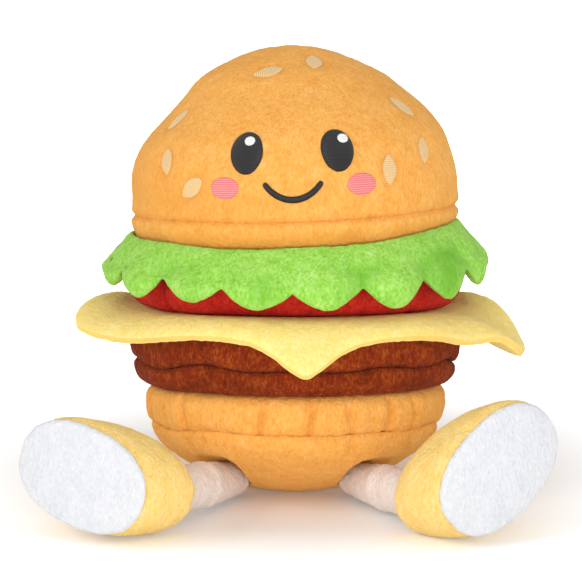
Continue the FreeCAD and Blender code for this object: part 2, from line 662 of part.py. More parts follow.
def face(layer, upper_layer):
    """A plain embroidered face: two oval eyes with a round highlight each, two cheeks and a smile."""
    for side, sign in SIDES.items():
        eye = front_prism(f"{side}_eye", f"{sign} * dims.eye_apart", "dims.eye_rise",
                          "dims.eye_half_width", "dims.eye_half_height")
        keep(lean(common(f"{side}_eye", layer, eye)), f"{side}_eye")
        glint = front_prism(f"{side}_glint", f"{sign} * dims.eye_apart + dims.glint_shift",
                            "dims.eye_rise + dims.glint_rise", "dims.glint_radius", "dims.glint_radius")
        keep(lean(common(f"{side}_eye_glint", upper_layer, glint)), f"{side}_eye_glint")
        cheek = front_prism(f"{side}_cheek", f"{sign} * dims.cheek_apart", "dims.cheek_rise",
                            "dims.cheek_half_width", "dims.cheek_half_height")
        keep(lean(common(f"{side}_cheek", layer, cheek)), f"{side}_cheek")
    arcs = []
    for name, shift in (("smile_outer", "+"), ("smile_inner", "-")):
        arc = doc.addObject("Part::Cylinder", name)
        arc.setExpression("Radius", f"dims.smile_radius {shift} dims.smile_width / 2")
        arc.setExpression("Height", "2 * dims.bun_radius")
        arc.setExpression("Placement", (
            "placement(vector(0; 0; worked.lettuce_top + dims.smile_rise);"
            " rotation(vector(1; 0; 0); 90) * rotation(-90 - dims.smile_angle / 2; 0; 0))"))
        arcs.append(arc)
    arcs[0].setExpression("Angle", "dims.smile_angle")
    keep(lean(common("smile", layer, cut("smile_prism", *arcs))), "smile")


# Sesame seeds: direction round the crown from the front, direction above its middle, and tilt
SEEDS = (
    (-61, 29, 25), (-51, 11, -20), (-37, 2, 60), (56, 32, -25), (35, 6, 5), (54, 12, 15),
    (-14, 55, 70), (22, 62, 20), (-100, 22, 10), (-128, 48, -40), (-148, 12, 30),
    (172, 30, 0), (150, 58, 55), (128, 10, -15), (98, 36, 35),
)


def sesame_seeds(layer):
    for index, (around, above, tilt) in enumerate(SEEDS, start=1):
        node = f"sesame_seed_{index:02d}"
        oval = doc.addObject("Part::Ellipse", node + "_oval")
        oval.setExpression("MajorRadius", "dims.seed_half_length")
        oval.setExpression("MinorRadius", "dims.seed_half_width")
        oval.setExpression("Placement", (
            "placement(vector(0; 0; worked.crown_middle);"
            f" rotation({around} - 90; -({above}); {tilt}) * rotation(0; 90; 0))"))
        outward = Rotation(around - 90, -above, 0).multVec(Vector(1, 0, 0))
        keep(lean(common(node, layer, prism_on(oval, outward))), node)


# Stitching that holds each layer to the next, in the crease where one of them rounds away


def crease_radius(side, edge):
    """Radius at which a thread just fits between a flat layer and a rounded edge."""
    return f"{side} - {edge} + 2 * sqrt({edge} * worked.stitch_room)"


def layer_stitching():
    under_lettuce = ("sqrt((worked.tomato_round + worked.stitch_room)^2 - worked.lettuce_crease^2)"
                     " - worked.tomato_round")
    creases = (
        ("bun_patty", crease_radius("dims.bowl_radius", "worked.bun_top_round"),
         "worked.bun_top - worked.stitch_room"),
        ("patty_cheese", crease_radius("dims.patty_radius", "worked.patty_round"),
         "worked.patty_top - worked.stitch_room"),
        ("cheese_tomato", crease_radius("dims.tomato_radius", "worked.tomato_round"),
         "worked.cheese_top + worked.stitch_room"),
        ("tomato_lettuce", "dims.tomato_radius - worked.tomato_round + worked.lettuce_crease",
         f"worked.tomato_top + {under_lettuce}"),
        ("lettuce_bun", crease_radius("dims.bun_radius", "worked.bun_lower_round"),
         "worked.lettuce_top + worked.stitch_room"),
    )
    for name, radius, level in creases:
        thread_ring(f"{name}_stitching", radius, level)


# Legs: a gathered root held by a ring of stitches, a tube, and a shoe that rolls about it


def leg(side):
    stitch = doc.addObject("Part::Torus", f"{side}_hip_stitching")
    stitch.setExpression("Radius1", "dims.hip_stitch_radius")
    stitch.setExpression("Radius2", "dims.thread_radius")
    sign = SIDES[side]
    stitch.setExpression("Placement", (
        f"placement(vector({sign} * worked.hip_reach * sin(dims.{side}_hip_angle);"
        f" -worked.hip_reach * cos(dims.{side}_hip_angle);"
        " worked.hip_height + sqrt(worked.hip_stitch_reach^2 - dims.hip_stitch_radius^2));"
        " rotation(0; 0; 0))"))
    keep(stitch, f"{side}_hip_stitching")

    wall = "dims.fabric_wall"
    cover = cut(f"{side}_leg_cover", leg_solid(f"{side}_leg_outer", "0", "0"),
                leg_solid(f"{side}_leg_inner", wall, "0"))
    cover.setExpression("Placement", hip_place(side))
    keep(cover, f"{side}_leg_cover")
    filling = leg_solid(f"{side}_leg_filling", f"{wall} + dims.fill_gap", "dims.fill_gap")
    filling.setExpression("Placement", hip_place(side))
    keep(filling, f"{side}_leg_filling")


def leg_solid(name, inset, short):
    """The leg drawn in by an inset and shortened at the shoe: root ball, waist, taper and tube."""
    ball = f"(dims.hip_ball - ({inset}))"
    return turned(name, (
        (f"-{ball}", "0", ball, "left"),
        (f"{ball} * cos(dims.hip_waist_angle)", f"{ball} * sin(dims.hip_waist_angle)"),
        ("dims.leg_taper", f"dims.leg_radius - ({inset})"),
        (f"dims.leg_length - ({short})", f"dims.leg_radius - ({inset})"),
        (f"dims.leg_length - ({short})", "0"),
    ), axis="H_Axis")


def shoe_section(name, side, ahead, half_length, half_width, shift):
    """An oval of the shoe across the leg's axis, shifted toward the toe."""
    oval = doc.addObject("Part::Ellipse", name)
    oval.setExpression("MajorRadius", half_length)
    oval.setExpression("MinorRadius", half_width)
    roll = f"{-SIDES[side]} * dims.{side}_toe_angle"
    oval.setExpression("Placement", (
        hip_place(side, roll, ahead) + f" * placement(vector(0; 0; {shift}); rotation(0; 90; 0))"))
    return oval


def shoe_solid(name, side, inset, cuff_radius):
    """The shoe from cuff to sole as a full solid, drawn in by an inset."""
    sections = (
        ("cuff", "worked.cuff_start", cuff_radius, cuff_radius, "0"),
        ("instep", "worked.instep_ahead", f"dims.instep_half_length - ({inset})",
         f"dims.instep_half_width - ({inset})", "dims.instep_shift"),
        ("welt", "worked.welt_ahead", f"dims.shoe_half_length - ({inset})",
         f"dims.shoe_half_width - ({inset})", "dims.shoe_shift"),
    )
    loft = doc.addObject("Part::Loft", name)
    loft.Sections = [shoe_section(f"{name}_{part}", side, *sizes) for part, *sizes in sections]
    loft.Solid = True
    loft.Ruled = False
    return loft


def shoe(side):
    wall = "dims.fabric_wall"
    inside = "dims.fabric_wall + dims.fill_gap"
    opening = "dims.leg_radius + dims.cuff_gap"
    upper = cut(f"{side}_shoe_upper",
                shoe_solid(f"{side}_shoe_outer", side, "0", f"{opening} + dims.cuff_wall"),
                shoe_solid(f"{side}_shoe_hollow", side, wall, opening))
    keep(upper, f"{side}_shoe_upper")

    leg_end = doc.addObject("Part::Cylinder", f"{side}_leg_end_room")
    leg_end.setExpression("Radius", "2 * dims.shoe_half_length")
    leg_end.setExpression("Height", "dims.leg_length + dims.fill_gap")
    leg_end.setExpression("Placement", hip_place(side) + " * placement(vector(0; 0; 0); rotation(0; 90; 0))")
    filling = cut(f"{side}_shoe_filling",
                  shoe_solid(f"{side}_shoe_fill", side, inside, f"{opening} - dims.fill_gap"), leg_end)
    keep(filling, f"{side}_shoe_filling")

    oval = shoe_section(f"{side}_sole_oval", side, "worked.welt_ahead",
                        "dims.shoe_half_length", "dims.shoe_half_width", "dims.shoe_shift")
    pad = doc.addObject("Part::Extrusion", f"{side}_sole_pad")
    pad.Base = oval
    pad.DirMode = "Custom"
    splay, rise = f"dims.{side}_splay_angle", f"worked.{side}_rise"
    pad.setExpression("Dir.x", f"{SIDES[side]} * sin({splay}) * cos({rise})")
    pad.setExpression("Dir.y", f"-cos({splay}) * cos({rise})")
    pad.setExpression("Dir.z", f"sin({rise})")
    pad.setExpression("LengthFwd", "dims.sole_thickness")
    pad.Solid = True
    doc.recompute()
    sole = doc.addObject("Part::Fillet", f"{side}_shoe_sole")
    sole.Base = pad
    edge_round = number(f"min(dims.sole_round; {ROUND_LIMIT} * dims.sole_thickness / 2)")
    rims = [i for i, e in enumerate(pad.Shape.Edges, start=1) if e.isClosed()]
    sole.Edges = [(rim, edge_round, edge_round) for rim in rims]
    keep(sole, f"{side}_shoe_sole")

    thread = doc.addObject("Part::Torus", f"{side}_ankle_thread")
    thread.setExpression("Radius1", f"{opening} + dims.thread_radius")
    thread.setExpression("Radius2", "dims.thread_radius")
    thread.setExpression("Placement", (
        hip_place(side, "0", "worked.cuff_start - dims.thread_radius - dims.thread_gap")
        + " * placement(vector(0; 0; 0); rotation(0; 90; 0))"))
    keep(thread, f"{side}_ankle_thread")


def build():
    bottom_bun()
    patty()
    cheese()
    tomato()
    lettuce()
    top_bun()
    over = "dims.embroidery_gap"
    thick = "dims.embroidery_height"
    thread_layer = crown_layer("thread_layer", over, f"{over} + {thick}")
    upper_layer = crown_layer("upper_thread_layer", f"2 * {over} + {thick}",
                              f"2 * {over} + {thick} + dims.glint_height")
    face(thread_layer, upper_layer)
    sesame_seeds(thread_layer)
    layer_stitching()
    for side in SIDES:
        leg(side)
        shoe(side)
    doc.recompute()


def write_out():
    """Check every object and sub-part, then write each sub-part to its own file."""
    for obj in doc.Objects:
        if "Invalid" in obj.State or "Error" in obj.State:
            raise RuntimeError(f"{obj.Name} failed: {obj.State}")
    for node, obj in nodes.items():
        shape = obj.Shape
        if shape.isNull() or not shape.isValid() or not shape.Solids:
            raise RuntimeError(f"{node} has no valid solid")
    os.makedirs("parts", exist_ok=True)
    for node, obj in nodes.items():
        obj.Shape.exportStep(f"parts/{node}.step")
        box = obj.Shape.BoundBox
        print(f"{node}: {len(obj.Shape.Solids)} solid, {obj.Shape.Volume:.1f} mm3,"
              f" z {box.ZMin:.2f} to {box.ZMax:.2f}")


build()
write_out()
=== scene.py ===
# %% [markdown]
# # A plush hamburger that sits with its legs out
#
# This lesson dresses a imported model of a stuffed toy. The solids in the frame give every piece its
# place and size. On top of them we make what the eye sees: puffed covers, drawn-in seams, a scalloped
# leaf, a limp slice, and short-pile plush. All sizes are in millimetres until a mesh is written, which
# is in metres.

# %% Load the frame
import itertools
import json

import bpy
import numpy as np
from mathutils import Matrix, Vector


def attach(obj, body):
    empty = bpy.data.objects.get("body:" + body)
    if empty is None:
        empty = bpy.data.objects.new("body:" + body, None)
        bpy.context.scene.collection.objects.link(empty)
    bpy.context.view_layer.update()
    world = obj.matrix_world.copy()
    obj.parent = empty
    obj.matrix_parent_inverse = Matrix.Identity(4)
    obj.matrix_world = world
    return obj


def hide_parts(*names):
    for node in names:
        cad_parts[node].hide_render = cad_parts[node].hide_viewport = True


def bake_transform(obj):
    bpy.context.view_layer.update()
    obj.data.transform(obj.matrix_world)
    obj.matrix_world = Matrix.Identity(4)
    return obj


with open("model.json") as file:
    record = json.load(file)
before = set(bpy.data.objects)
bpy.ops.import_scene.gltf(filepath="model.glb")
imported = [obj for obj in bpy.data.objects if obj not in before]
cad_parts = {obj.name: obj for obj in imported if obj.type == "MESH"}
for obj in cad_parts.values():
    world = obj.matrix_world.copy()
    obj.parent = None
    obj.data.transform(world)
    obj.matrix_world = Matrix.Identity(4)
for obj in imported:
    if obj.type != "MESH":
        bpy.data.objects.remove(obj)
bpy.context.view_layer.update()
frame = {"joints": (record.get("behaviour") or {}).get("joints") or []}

MM = 0.001

# %% [markdown]
# ## The leaning stack
#
# The layers share one axis, which leans back by a few degrees about the middle of the ball that shapes
# the bottom bun. Each layer could be made upright and turned afterwards, but a finished piece keeps its
# place in its mesh. So one function turns a radius, a direction round the axis and a level along it
# into a place. The top bun and the leaf also roll a little, right side up, because the toy was set down
# by hand.

# %% Stack coordinates
LEAN = np.radians(8)
BALL_RADIUS = 98.04
SEAT_CUT = 4.0
STACK_Y = -BALL_RADIUS * np.sin(LEAN)
STACK_Z = BALL_RADIUS - SEAT_CUT - BALL_RADIUS * np.cos(LEAN)
BOWL_SEAM = 33.6
BUN_TOP = 51.5
PATTY_SEAM = 63.6
PATTY_TOP = 83.0
CHEESE_TOP = 87.5
TOMATO_TOP = 113.0
LETTUCE_TOP = 117.0
CROWN_SEAM = 134.0
UPPER_ROLL = np.radians(1.9)


def on_stack(radius, around, level, roll=0.0):
    """The place at a radius, a direction round the axis (0 is the front, + is to the right) and a level.

    Roll turns the layer about its own front-to-back line at the leaf, then the stack leans back.
    """
    across = radius * np.sin(around)
    ahead = -radius * np.cos(around)
    rise = level - LETTUCE_TOP
    across, level = across - rise * np.sin(roll), level + across * np.sin(roll)
    return np.stack(np.broadcast_arrays(
        across,
        STACK_Y + ahead * np.cos(LEAN) + level * np.sin(LEAN),
        STACK_Z - ahead * np.sin(LEAN) + level * np.cos(LEAN),
    ), axis=-1)


print("the stack's axis meets the seat", round(-STACK_Y, 1), "mm in front of the origin")

# %% [markdown]
# ## Small tools for curves and noise
#
# An outline is a chain of arcs and points, spaced out evenly along its length. Plush is never smooth,
# so we also need noise. A modifier could move the points by one of Blender's textures, but noise worked
# out here mixes with the other formulas. It repeats exactly on every run: random numbers on a lattice,
# blended between its corners.


# %% Curves
def arc(middle, radius, start, end, count=48):
    """Points on a circle about (r, level), from one angle to another in degrees."""
    angle = np.radians(np.linspace(start, end, count))
    return np.stack([middle[0] + radius * np.cos(angle), middle[1] + radius * np.sin(angle)], axis=1)


def run_along(path):
    """How far along a path of points each of them lies."""
    return np.r_[0, np.cumsum(np.linalg.norm(np.diff(path, axis=0), axis=1))]


def evenly(count, *stretches):
    """A chain of stretches of points, spaced out evenly along its length."""
    path = np.concatenate([np.atleast_2d(np.asarray(s, float)) for s in stretches])
    run = run_along(path)
    at = np.linspace(0, run[-1], count)
    return np.stack([np.interp(at, run, path[:, k]) for k in range(path.shape[1])], axis=1)


def hump(x, middle, width):
    """A soft hump: 1 in the middle, falling to nothing about two widths away."""
    return np.exp(-((x - middle) / width) ** 2)


def ramp(x, start, end):
    """0 before start, 1 after end, and an S curve between."""
    t = np.clip((x - start) / (end - start), 0, 1)
    return t * t * (3 - 2 * t)


def unit(vectors):
    """Vectors of length 1 in the same directions."""
    return vectors / np.maximum(np.linalg.norm(vectors, axis=-1, keepdims=True), 1e-9)


def turn_between(a, b):
    """The angle from b to a, between minus and plus a half turn."""
    return (a - b + np.pi) % (2 * np.pi) - np.pi


def directions(count):
    """Directions round the stack, evenly spaced, from the back round through the front."""
    return np.linspace(-np.pi, np.pi, count, endpoint=False)


print("a quarter of a circle of radius 10 mm runs", round(run_along(arc((0, 0), 10, 0, 90))[-1], 2), "mm")

# %% Noise and gathers
LATTICE_PRIMES = np.array([73856093, 19349663, 83492791])
SEED_PRIME = 2654435761
MIX_PRIME = 1274126177


def lattice_noise(points, cell, seed):
    """Random values on a lattice of that cell, blended by S curves between its eight corners: -1 to 1."""
    place = points / cell
    base = np.floor(place).astype(np.int64)
    part = place - base
    weight = part * part * (3 - 2 * part)
    total = np.zeros(points.shape[:-1])
    for corner in itertools.product((0, 1), repeat=3):
        spot = base + np.array(corner)
        mixed = np.bitwise_xor.reduce(spot * LATTICE_PRIMES, axis=-1) ^ seed * SEED_PRIME
        mixed = (mixed ^ (mixed >> 13)) * MIX_PRIME & 0x7FFFFFFF
        mixed = (mixed ^ (mixed >> 16)) & 0xFFFF
        share = np.prod(np.where(corner, weight, 1 - weight), axis=-1)
        total += share * (mixed / (0xFFFF / 2) - 1)
    return total


def gathers(around, count, seed):
    """Uneven folds round a seam: three waves near a count of folds, with seeded phases: -1 to 1."""
    phase = np.random.default_rng(seed).uniform(0, 2 * np.pi, 3)
    waves = [np.sin(round(count * k) * around + p) for k, p in zip((1.0, 1.37, 0.71), phase)]
    return sum(waves) / 3


print("noise over a row of points:", lattice_noise(np.linspace((0, 0, 0), (9, 9, 9), 4), 4, seed=1).round(2))

# %% [markdown]
# ## From a grid of points to a closed mesh
#
# Each cover is a grid: rows run along the outline and columns run round it. A cover closes at a pole at
# each end, and a ring closes on itself. A coarse mesh with subdivision would be smaller, but on a fine
# grid every seam, crease and tuck is a formula of row and column. Fine pile is real relief here: every
# point moves a little along its normal, so that the edge of the toy looks soft too.


# %% Normals and faces of a grid
def normals_of(grid, ring):
    """Unit normals of a grid: the cross product of its two directions, turned to point outwards."""
    round_way = np.roll(grid, -1, axis=1) - np.roll(grid, 1, axis=1)
    if ring:
        along = np.roll(grid, -1, axis=0) - np.roll(grid, 1, axis=0)
    else:
        along = np.gradient(grid, axis=0)
    normal = np.cross(round_way, along)
    middle = grid.reshape(-1, 3).mean(axis=0)
    if np.sum((grid - middle) * normal) < 0:
        normal = -normal
    return unit(normal)


def grid_faces(rows, columns, ring):
    """Quads between neighbouring rows and columns, with a fan of triangles at each pole."""
    column = np.arange(columns)
    after = (column + 1) % columns
    if ring:
        row = np.arange(rows)[:, None]
        below = (row + 1) % rows
        quads = np.stack(np.broadcast_arrays(
            row * columns + column, row * columns + after,
            below * columns + after, below * columns + column), -1)
        return quads.reshape(-1, 4).tolist()
    row = np.arange(rows - 3)[:, None] * columns + 1
    quads = np.stack(np.broadcast_arrays(
        row + column, row + after, row + columns + after, row + columns + column), -1)
    last = (rows - 2) * columns + 1
    first_fan = np.stack([np.zeros(columns, int), 1 + after, 1 + column], -1)
    last_ring = last - columns
    last_fan = np.stack([np.full(columns, last), last_ring + column, last_ring + after], -1)
    return quads.reshape(-1, 4).tolist() + first_fan.tolist() + last_fan.tolist()


print("a ring of 4 by 6 points has", len(grid_faces(4, 6, True)), "faces")


# %% A mesh from a grid
def grid_values(grid, ring):
    """One value a vertex: all of a ring's grid, or the two poles with the rows between them."""
    if ring:
        return grid.reshape(-1, *grid.shape[2:])
    first, last = grid[:1].mean(axis=1), grid[-1:].mean(axis=1)
    return np.concatenate([first, grid[1:-1].reshape(-1, *grid.shape[2:]), last])


def mesh_of(name, grid, marks, ring=False):
    """A smooth closed mesh from a grid of points, facing outwards, with named values for its vertices."""
    vertices = grid_values(grid, ring) * MM
    faces = grid_faces(grid.shape[0], grid.shape[1], ring)
    corners = vertices[np.array([f[:3] for f in faces])]
    volume = np.einsum("ij,ij->", corners[:, 0], np.cross(corners[:, 1], corners[:, 2]))
    if volume < 0:
        faces = [f[::-1] for f in faces]
    mesh = bpy.data.meshes.new(name)
    mesh.from_pydata(vertices.tolist(), [], faces)
    mesh.polygons.foreach_set("use_smooth", np.ones(len(faces), bool))
    for mark, values in marks.items():
        attribute = mesh.attributes.new(mark, "FLOAT", "POINT")
        attribute.data.foreach_set("value", grid_values(values, ring).astype(np.float32))
    mesh.update()
    piece = bpy.data.objects.new(name, mesh)
    bpy.context.scene.collection.objects.link(piece)
    print(f"{name}: {len(faces)} faces")
    return piece


# %% A padded cover
PILE_SEED = 7
PILE_DEPTH = 0.38
# Lumps of the pile: their size in millimetres and their share.
PILE_CELLS = ((4.2, 0.45), (2.1, 0.55))
FLOOR_SKIN = 0.15


def plush_piece(name, grid, finish, body, stands_for, ring=False, fold_shade=0.0, pile=PILE_DEPTH):
    """A padded cover: a grid with pile raised on it, kept above the floor, dressed and set on its body.

    Body is the name of the body that it is set on, or else two names and two points, which are not used; then
    the cover stays where it is, on no body.
    """
    relief = sum(share * lattice_noise(grid, cell, PILE_SEED) for cell, share in PILE_CELLS)
    grid = grid + normals_of(grid, ring) * (pile * relief)[..., None]
    grid[..., 2] = np.maximum(grid[..., 2], FLOOR_SKIN)
    # Painted shade: these values on the vertices darken the plush in its folds and hollows.
    piece = mesh_of(name, grid, {"fold_shade": np.broadcast_to(fold_shade, grid.shape[:2])}, ring)
    piece.data.materials.append(finish)
    if isinstance(body, str):
        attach(piece, body)
    else:
        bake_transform(piece)
    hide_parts(*stands_for)


print("pile stands", PILE_DEPTH, "mm in lumps of", [cell for cell, _ in PILE_CELLS], "mm")

# %% [markdown]
# ## Plush
#
# The covers are minky, a knitted polyester with a cut pile about 2 mm high. Brushed one way it is light
# and the other way dark, so its colour drifts in patches about a centimetre wide, with fine flecks
# where fibres part. The fibres catch light at a glancing angle, which is what sheen is for, and nothing
# on it is glossy. Hair strands could show single fibres, but relief and bump give most of the softness
# for far fewer faces. The pile is drawn a little coarser than it is, or it would not show at this size.


# %% Colours and nodes
def linear(hex_code):
    """An sRGB hex value as linear red, green, blue and alpha."""
    values = np.array([int(hex_code[i:i + 2], 16) / 255 for i in (1, 3, 5)])
    values = np.where(values <= 0.04045, values / 12.92, ((values + 0.055) / 1.055) ** 2.4)
    return (*values.tolist(), 1.0)


def add(tree, kind, links=None, **settings):
    """Add a node, set its settings, and link or set its inputs."""
    made = tree.nodes.new(kind)
    for name, value in settings.items():
        setattr(made, name, value)
    for name, value in (links or {}).items():
        if isinstance(value, bpy.types.NodeSocket):
            tree.links.new(value, made.inputs[name])
        else:
            made.inputs[name].default_value = value
    return made


def new_finish(name):
    """An empty node material."""
    finish = bpy.data.materials.new(name)
    finish.use_nodes = True
    finish.node_tree.nodes.clear()
    return finish, finish.node_tree


print("a middle grey is", round(linear("#808080")[0], 3), "in linear light")

# %% Plush finish
NAP_PATCH = 11 * MM
NAP_STREAK = 3.2 * MM
FIBRE = 1.15 * MM
PILE_BUMP = 0.9 * MM
COMB = (1.0, 1.0, 0.55)
STREAK_SHARE = 0.6
FLECK_SHARE = 0.5
DARK_STOP = 0.28
LIGHT_STOP = 0.72


def plush(name, dark, body, light, sheen=0.35, depth=0.8):
    """Minky: three tones mixed by nap patches and flecks, with painted shade in folds, fine bump and sheen.
    """
    finish, tree = new_finish(name)
    place = add(tree, "ShaderNodeTexCoord").outputs["Object"]
    combed = add(tree, "ShaderNodeMapping", {"Vector": place, "Scale": COMB}).outputs["Vector"]
    patch = add(tree, "ShaderNodeTexNoise", {"Vector": place, "Scale": 1 / NAP_PATCH, "Detail": 2.0})
    streak = add(tree, "ShaderNodeTexNoise", {"Vector": combed, "Scale": 1 / NAP_STREAK, "Detail": 3.0})
    fleck = add(tree, "ShaderNodeTexNoise", {"Vector": combed, "Scale": 1 / FIBRE, "Detail": 2.0})
    drift = add(tree, "ShaderNodeMix", {
        "Factor": STREAK_SHARE, 2: patch.outputs["Fac"], 3: streak.outputs["Fac"]})
    tone = add(tree, "ShaderNodeMix", {"Factor": FLECK_SHARE, 2: drift.outputs[0], 3: fleck.outputs["Fac"]})
    tones = add(tree, "ShaderNodeValToRGB", {"Fac": tone.outputs[0]})
    stops = tones.color_ramp.elements
    stops[0].position, stops[0].color = DARK_STOP, linear(dark)
    stops[1].position, stops[1].color = LIGHT_STOP, linear(light)
    middle = stops.new(0.5)
    middle.color = linear(body)
    # Painted shade: a value on the vertices mixes the colour towards the dark tone in folds and hollows.
    fold_shade = add(tree, "ShaderNodeAttribute", attribute_name="fold_shade").outputs["Fac"]
    shaded = add(tree, "ShaderNodeMix", {"Factor": fold_shade, 6: tones.outputs["Color"], 7: linear(dark)},
                 data_type="RGBA")
    height = add(tree, "ShaderNodeMath", {0: fleck.outputs["Fac"], 1: streak.outputs["Fac"]}, operation="ADD")
    bump = add(tree, "ShaderNodeBump", {
        "Height": height.outputs[0], "Distance": PILE_BUMP, "Strength": depth})
    skin = add(tree, "ShaderNodeBsdfPrincipled", {
        "Base Color": shaded.outputs[2], "Roughness": 0.95, "Specular IOR Level": 0.2, "Sheen Weight": sheen,
        "Sheen Roughness": 0.45, "Sheen Tint": linear(light), "Normal": bump.outputs["Normal"]})
    add(tree, "ShaderNodeOutputMaterial", {"Surface": skin.outputs["BSDF"]})
    return finish


BUN = plush("tan_minky_plush", "#DF9138", "#F2AC52", "#F9C274", sheen=0.55)
LEAF = plush("green_minky_plush", "#66AE27", "#98D252", "#BEE98C")
TOMATO = plush("red_minky_plush", "#860F0A", "#B61F15", "#D03828", sheen=0.15)
CHEESE = plush("pale_yellow_minky_plush", "#F8D26C", "#FDDF84", "#FFECAC", depth=0.4)
PATTY = plush("brown_minky_plush", "#481402", "#842D07", "#B05820", sheen=0.15)
LEG = plush("warm_white_minky_plush", "#D6C6BC", "#E6DAD3", "#F3ECE7")
SHOE = plush("yellow_minky_plush", "#E9BC5C", "#F3D07C", "#FBE2A4")
SOLE = plush("white_minky_plush", "#CFD0D4", "#DBDCE0", "#E7E7EA")
print("plush finishes:", sum("plush" in m.name for m in bpy.data.materials))

# %% [markdown]
# ## Bottom bun
#
# The bun is a bowl sewn to a band. Stuffing pushes both out, the seam holds them in, and the band folds
# in soft upright creases where the cloth is too long, which run on in the bowl. The bowl is flat where
# it sits, and it is dented where a leg's root goes in, so that the leg has room to move. A cloth
# simulation could puff the covers, but it takes time to tune. Formulas put each seam and crease
# straight where it belongs. We start from the solid's own arcs and add those marks.

# %% Legs and hips from the joints
SIDES = {"left": -1, "right": 1}
# How far each toe is rolled outwards from upright, in degrees.
TOE_ROLL = {"left": 75.0, "right": 53.0}
JOINTS = {joint["name"]: joint for joint in frame["joints"]}


def leg_frame(side):
    """Hip, ankle and three directions: along the leg, towards the toe, and across the foot."""
    hip = np.array(JOINTS[f"{side}_hip_swing"]["pos_m"]) / MM
    ankle = np.array(JOINTS[f"{side}_foot_roll"]["pos_m"]) / MM
    along = unit(ankle - hip)
    outward = unit(np.cross(along, [0, 0, 1]))
    outward = outward if outward[0] * SIDES[side] > 0 else -outward
    upward = unit(np.cross(outward, along))
    upward = upward if upward[2] > 0 else -upward
    roll = np.radians(TOE_ROLL[side])
    toe = outward * np.sin(roll) + upward * np.cos(roll)
    across = np.cross(along, toe)
    return hip, ankle, along, toe, across


for side in SIDES:
    print(side, "leg runs along", np.round(leg_frame(side)[2], 2))

# %% Room for the legs
HIP_SOCKET = 8.9
HIP_REACH = 34.0
SIDE_FLARE = 0.36
TOP_FLARE = 0.19


def dent_for_leg(grid, side):
    """Push points out of a leg's room: behind a ball at the hip, and behind a cone that opens outwards.

    The cone is wider to the sides than upwards, as the leg's swing is.
    """
    hip, _, along, _, _ = leg_frame(side)
    offset = grid - hip
    ahead = offset @ along
    beside = offset - ahead[..., None] * along
    aside = np.maximum(np.linalg.norm(beside, axis=-1), 1e-6)
    upright = (beside[..., 2] / aside) ** 4
    slope = SIDE_FLARE * (1 - upright) + TOP_FLARE * upright
    ball = -np.sqrt(np.maximum(HIP_SOCKET ** 2 - aside ** 2, 0))
    limit = np.where(aside < HIP_SOCKET, ball, (aside - HIP_SOCKET) / slope)
    near = (ahead > limit) & (ahead < HIP_REACH) & (ahead > -HIP_SOCKET)
    return grid + np.where(near, limit - ahead, 0.0)[..., None] * along


print("each leg's room starts as a ball of radius", HIP_SOCKET, "mm at its hip")

# %% Outlines of the bowl and the band
BOWL_RADIUS = 70.0
BOWL_HEIGHT = 43.0
BOWL_SIDE = 30.0
BAND_ROUND = 6.0
BOWL_ROWS = 190
BAND_ROWS = 150
SIDE_MIDDLE = (BOWL_RADIUS - BOWL_SIDE, BOWL_HEIGHT)
SEAM_ANGLE = -np.degrees(np.arcsin((BOWL_HEIGHT - BOWL_SEAM) / BOWL_SIDE))


def bowl_outline():
    """The bowl from its pole up the ball and the rounded side to the seam, then back in to the axis."""
    start = np.degrees(np.arctan2(BOWL_HEIGHT - BALL_RADIUS, BOWL_RADIUS - BOWL_SIDE))
    return evenly(BOWL_ROWS, arc((0, BALL_RADIUS), BALL_RADIUS, -90, start),
                  arc(SIDE_MIDDLE, BOWL_SIDE, start, SEAM_ANGLE), [(0, BOWL_SEAM + 1)])


def band_outline():
    """The band from the axis out to the seam, up the round side and over its top edge."""
    return evenly(BAND_ROWS, [(0, BOWL_SEAM - 1)], arc(SIDE_MIDDLE, BOWL_SIDE, SEAM_ANGLE, 0),
                  arc((BOWL_RADIUS - BAND_ROUND, BUN_TOP - BAND_ROUND), BAND_ROUND, 0, 90), [(0, BUN_TOP)])


print("bowl and band meet", round(-SEAM_ANGLE, 1), "degrees below the bun's widest line")

# %% Covers drawn in by a seam
ROUND_COLUMNS = 480
AROUND = directions(ROUND_COLUMNS)
SEAM_WIDTH = 1.5
SEAM_FOLD = 0.55
FOLD_FADE = 6.0
FRONT_TURN = np.radians(85)
SAG_REACH = 16.0
WAVER_REACH = 9.0


def seam_draw(level, seam, around, depth, count, seed):
    """How a cover is drawn in by a seam: a groove at the thread, with folds that fade away from it."""
    away = np.abs(level - seam)
    groove = -depth * hump(away, 0, SEAM_WIDTH)
    folds = SEAM_FOLD * gathers(around, count, seed) * np.exp(-away / FOLD_FADE) * ramp(away, 0, SEAM_WIDTH)
    return groove + folds


def turned_cover(outline, puff, seam, depth, count, seed, roll=0.0, sag=0.0, waver=0.0):
    """A cover turned from an outline, drawn in at its seam and puffed by a function of direction and level.

    Sag lowers the seam by that much at the front and less towards the sides, and waver lets it wander.
    """
    radius, level = outline[:, :1], outline[:, 1:]
    outer = ramp(radius, 0.3 * radius.max(), 0.6 * radius.max())
    swell = seam_draw(level, seam, AROUND, depth, count, seed) + puff(AROUND, level)
    front = 1 - ramp(np.abs(AROUND), 0, FRONT_TURN)
    sagging = sag * front * hump(level, seam, SAG_REACH)
    wandering = waver * gathers(AROUND, 7, seed=9) * hump(level, seam, WAVER_REACH)
    grid = on_stack(radius + outer * swell, AROUND, level - sagging + wandering, roll)
    # Painted shade: the second value returned darkens the plush where the cover is drawn in.
    return grid, outer * np.clip(-swell / 4, 0, 0.6)


print("a turned cover has", ROUND_COLUMNS, "columns, one every", 360 / ROUND_COLUMNS, "degrees")

# %% Bowl and band
# Directions of the creases round the stack, in degrees.
BAND_CREASES = (-75, -48, -13, 5.9, 21.5, 38.3, 52, 88, 120, 155, -112, -150)
BAND_CREASE_DEPTH = 2.5
BOWL_CREASE_DEPTH = 1.3
RIDGE_AWAY = 5.5
RIDGE_HEIGHT = 0.7


def from_crease(around, crease):
    """How far round the bun a place lies from a crease, in millimetres."""
    return turn_between(around, np.radians(crease)) * BOWL_RADIUS


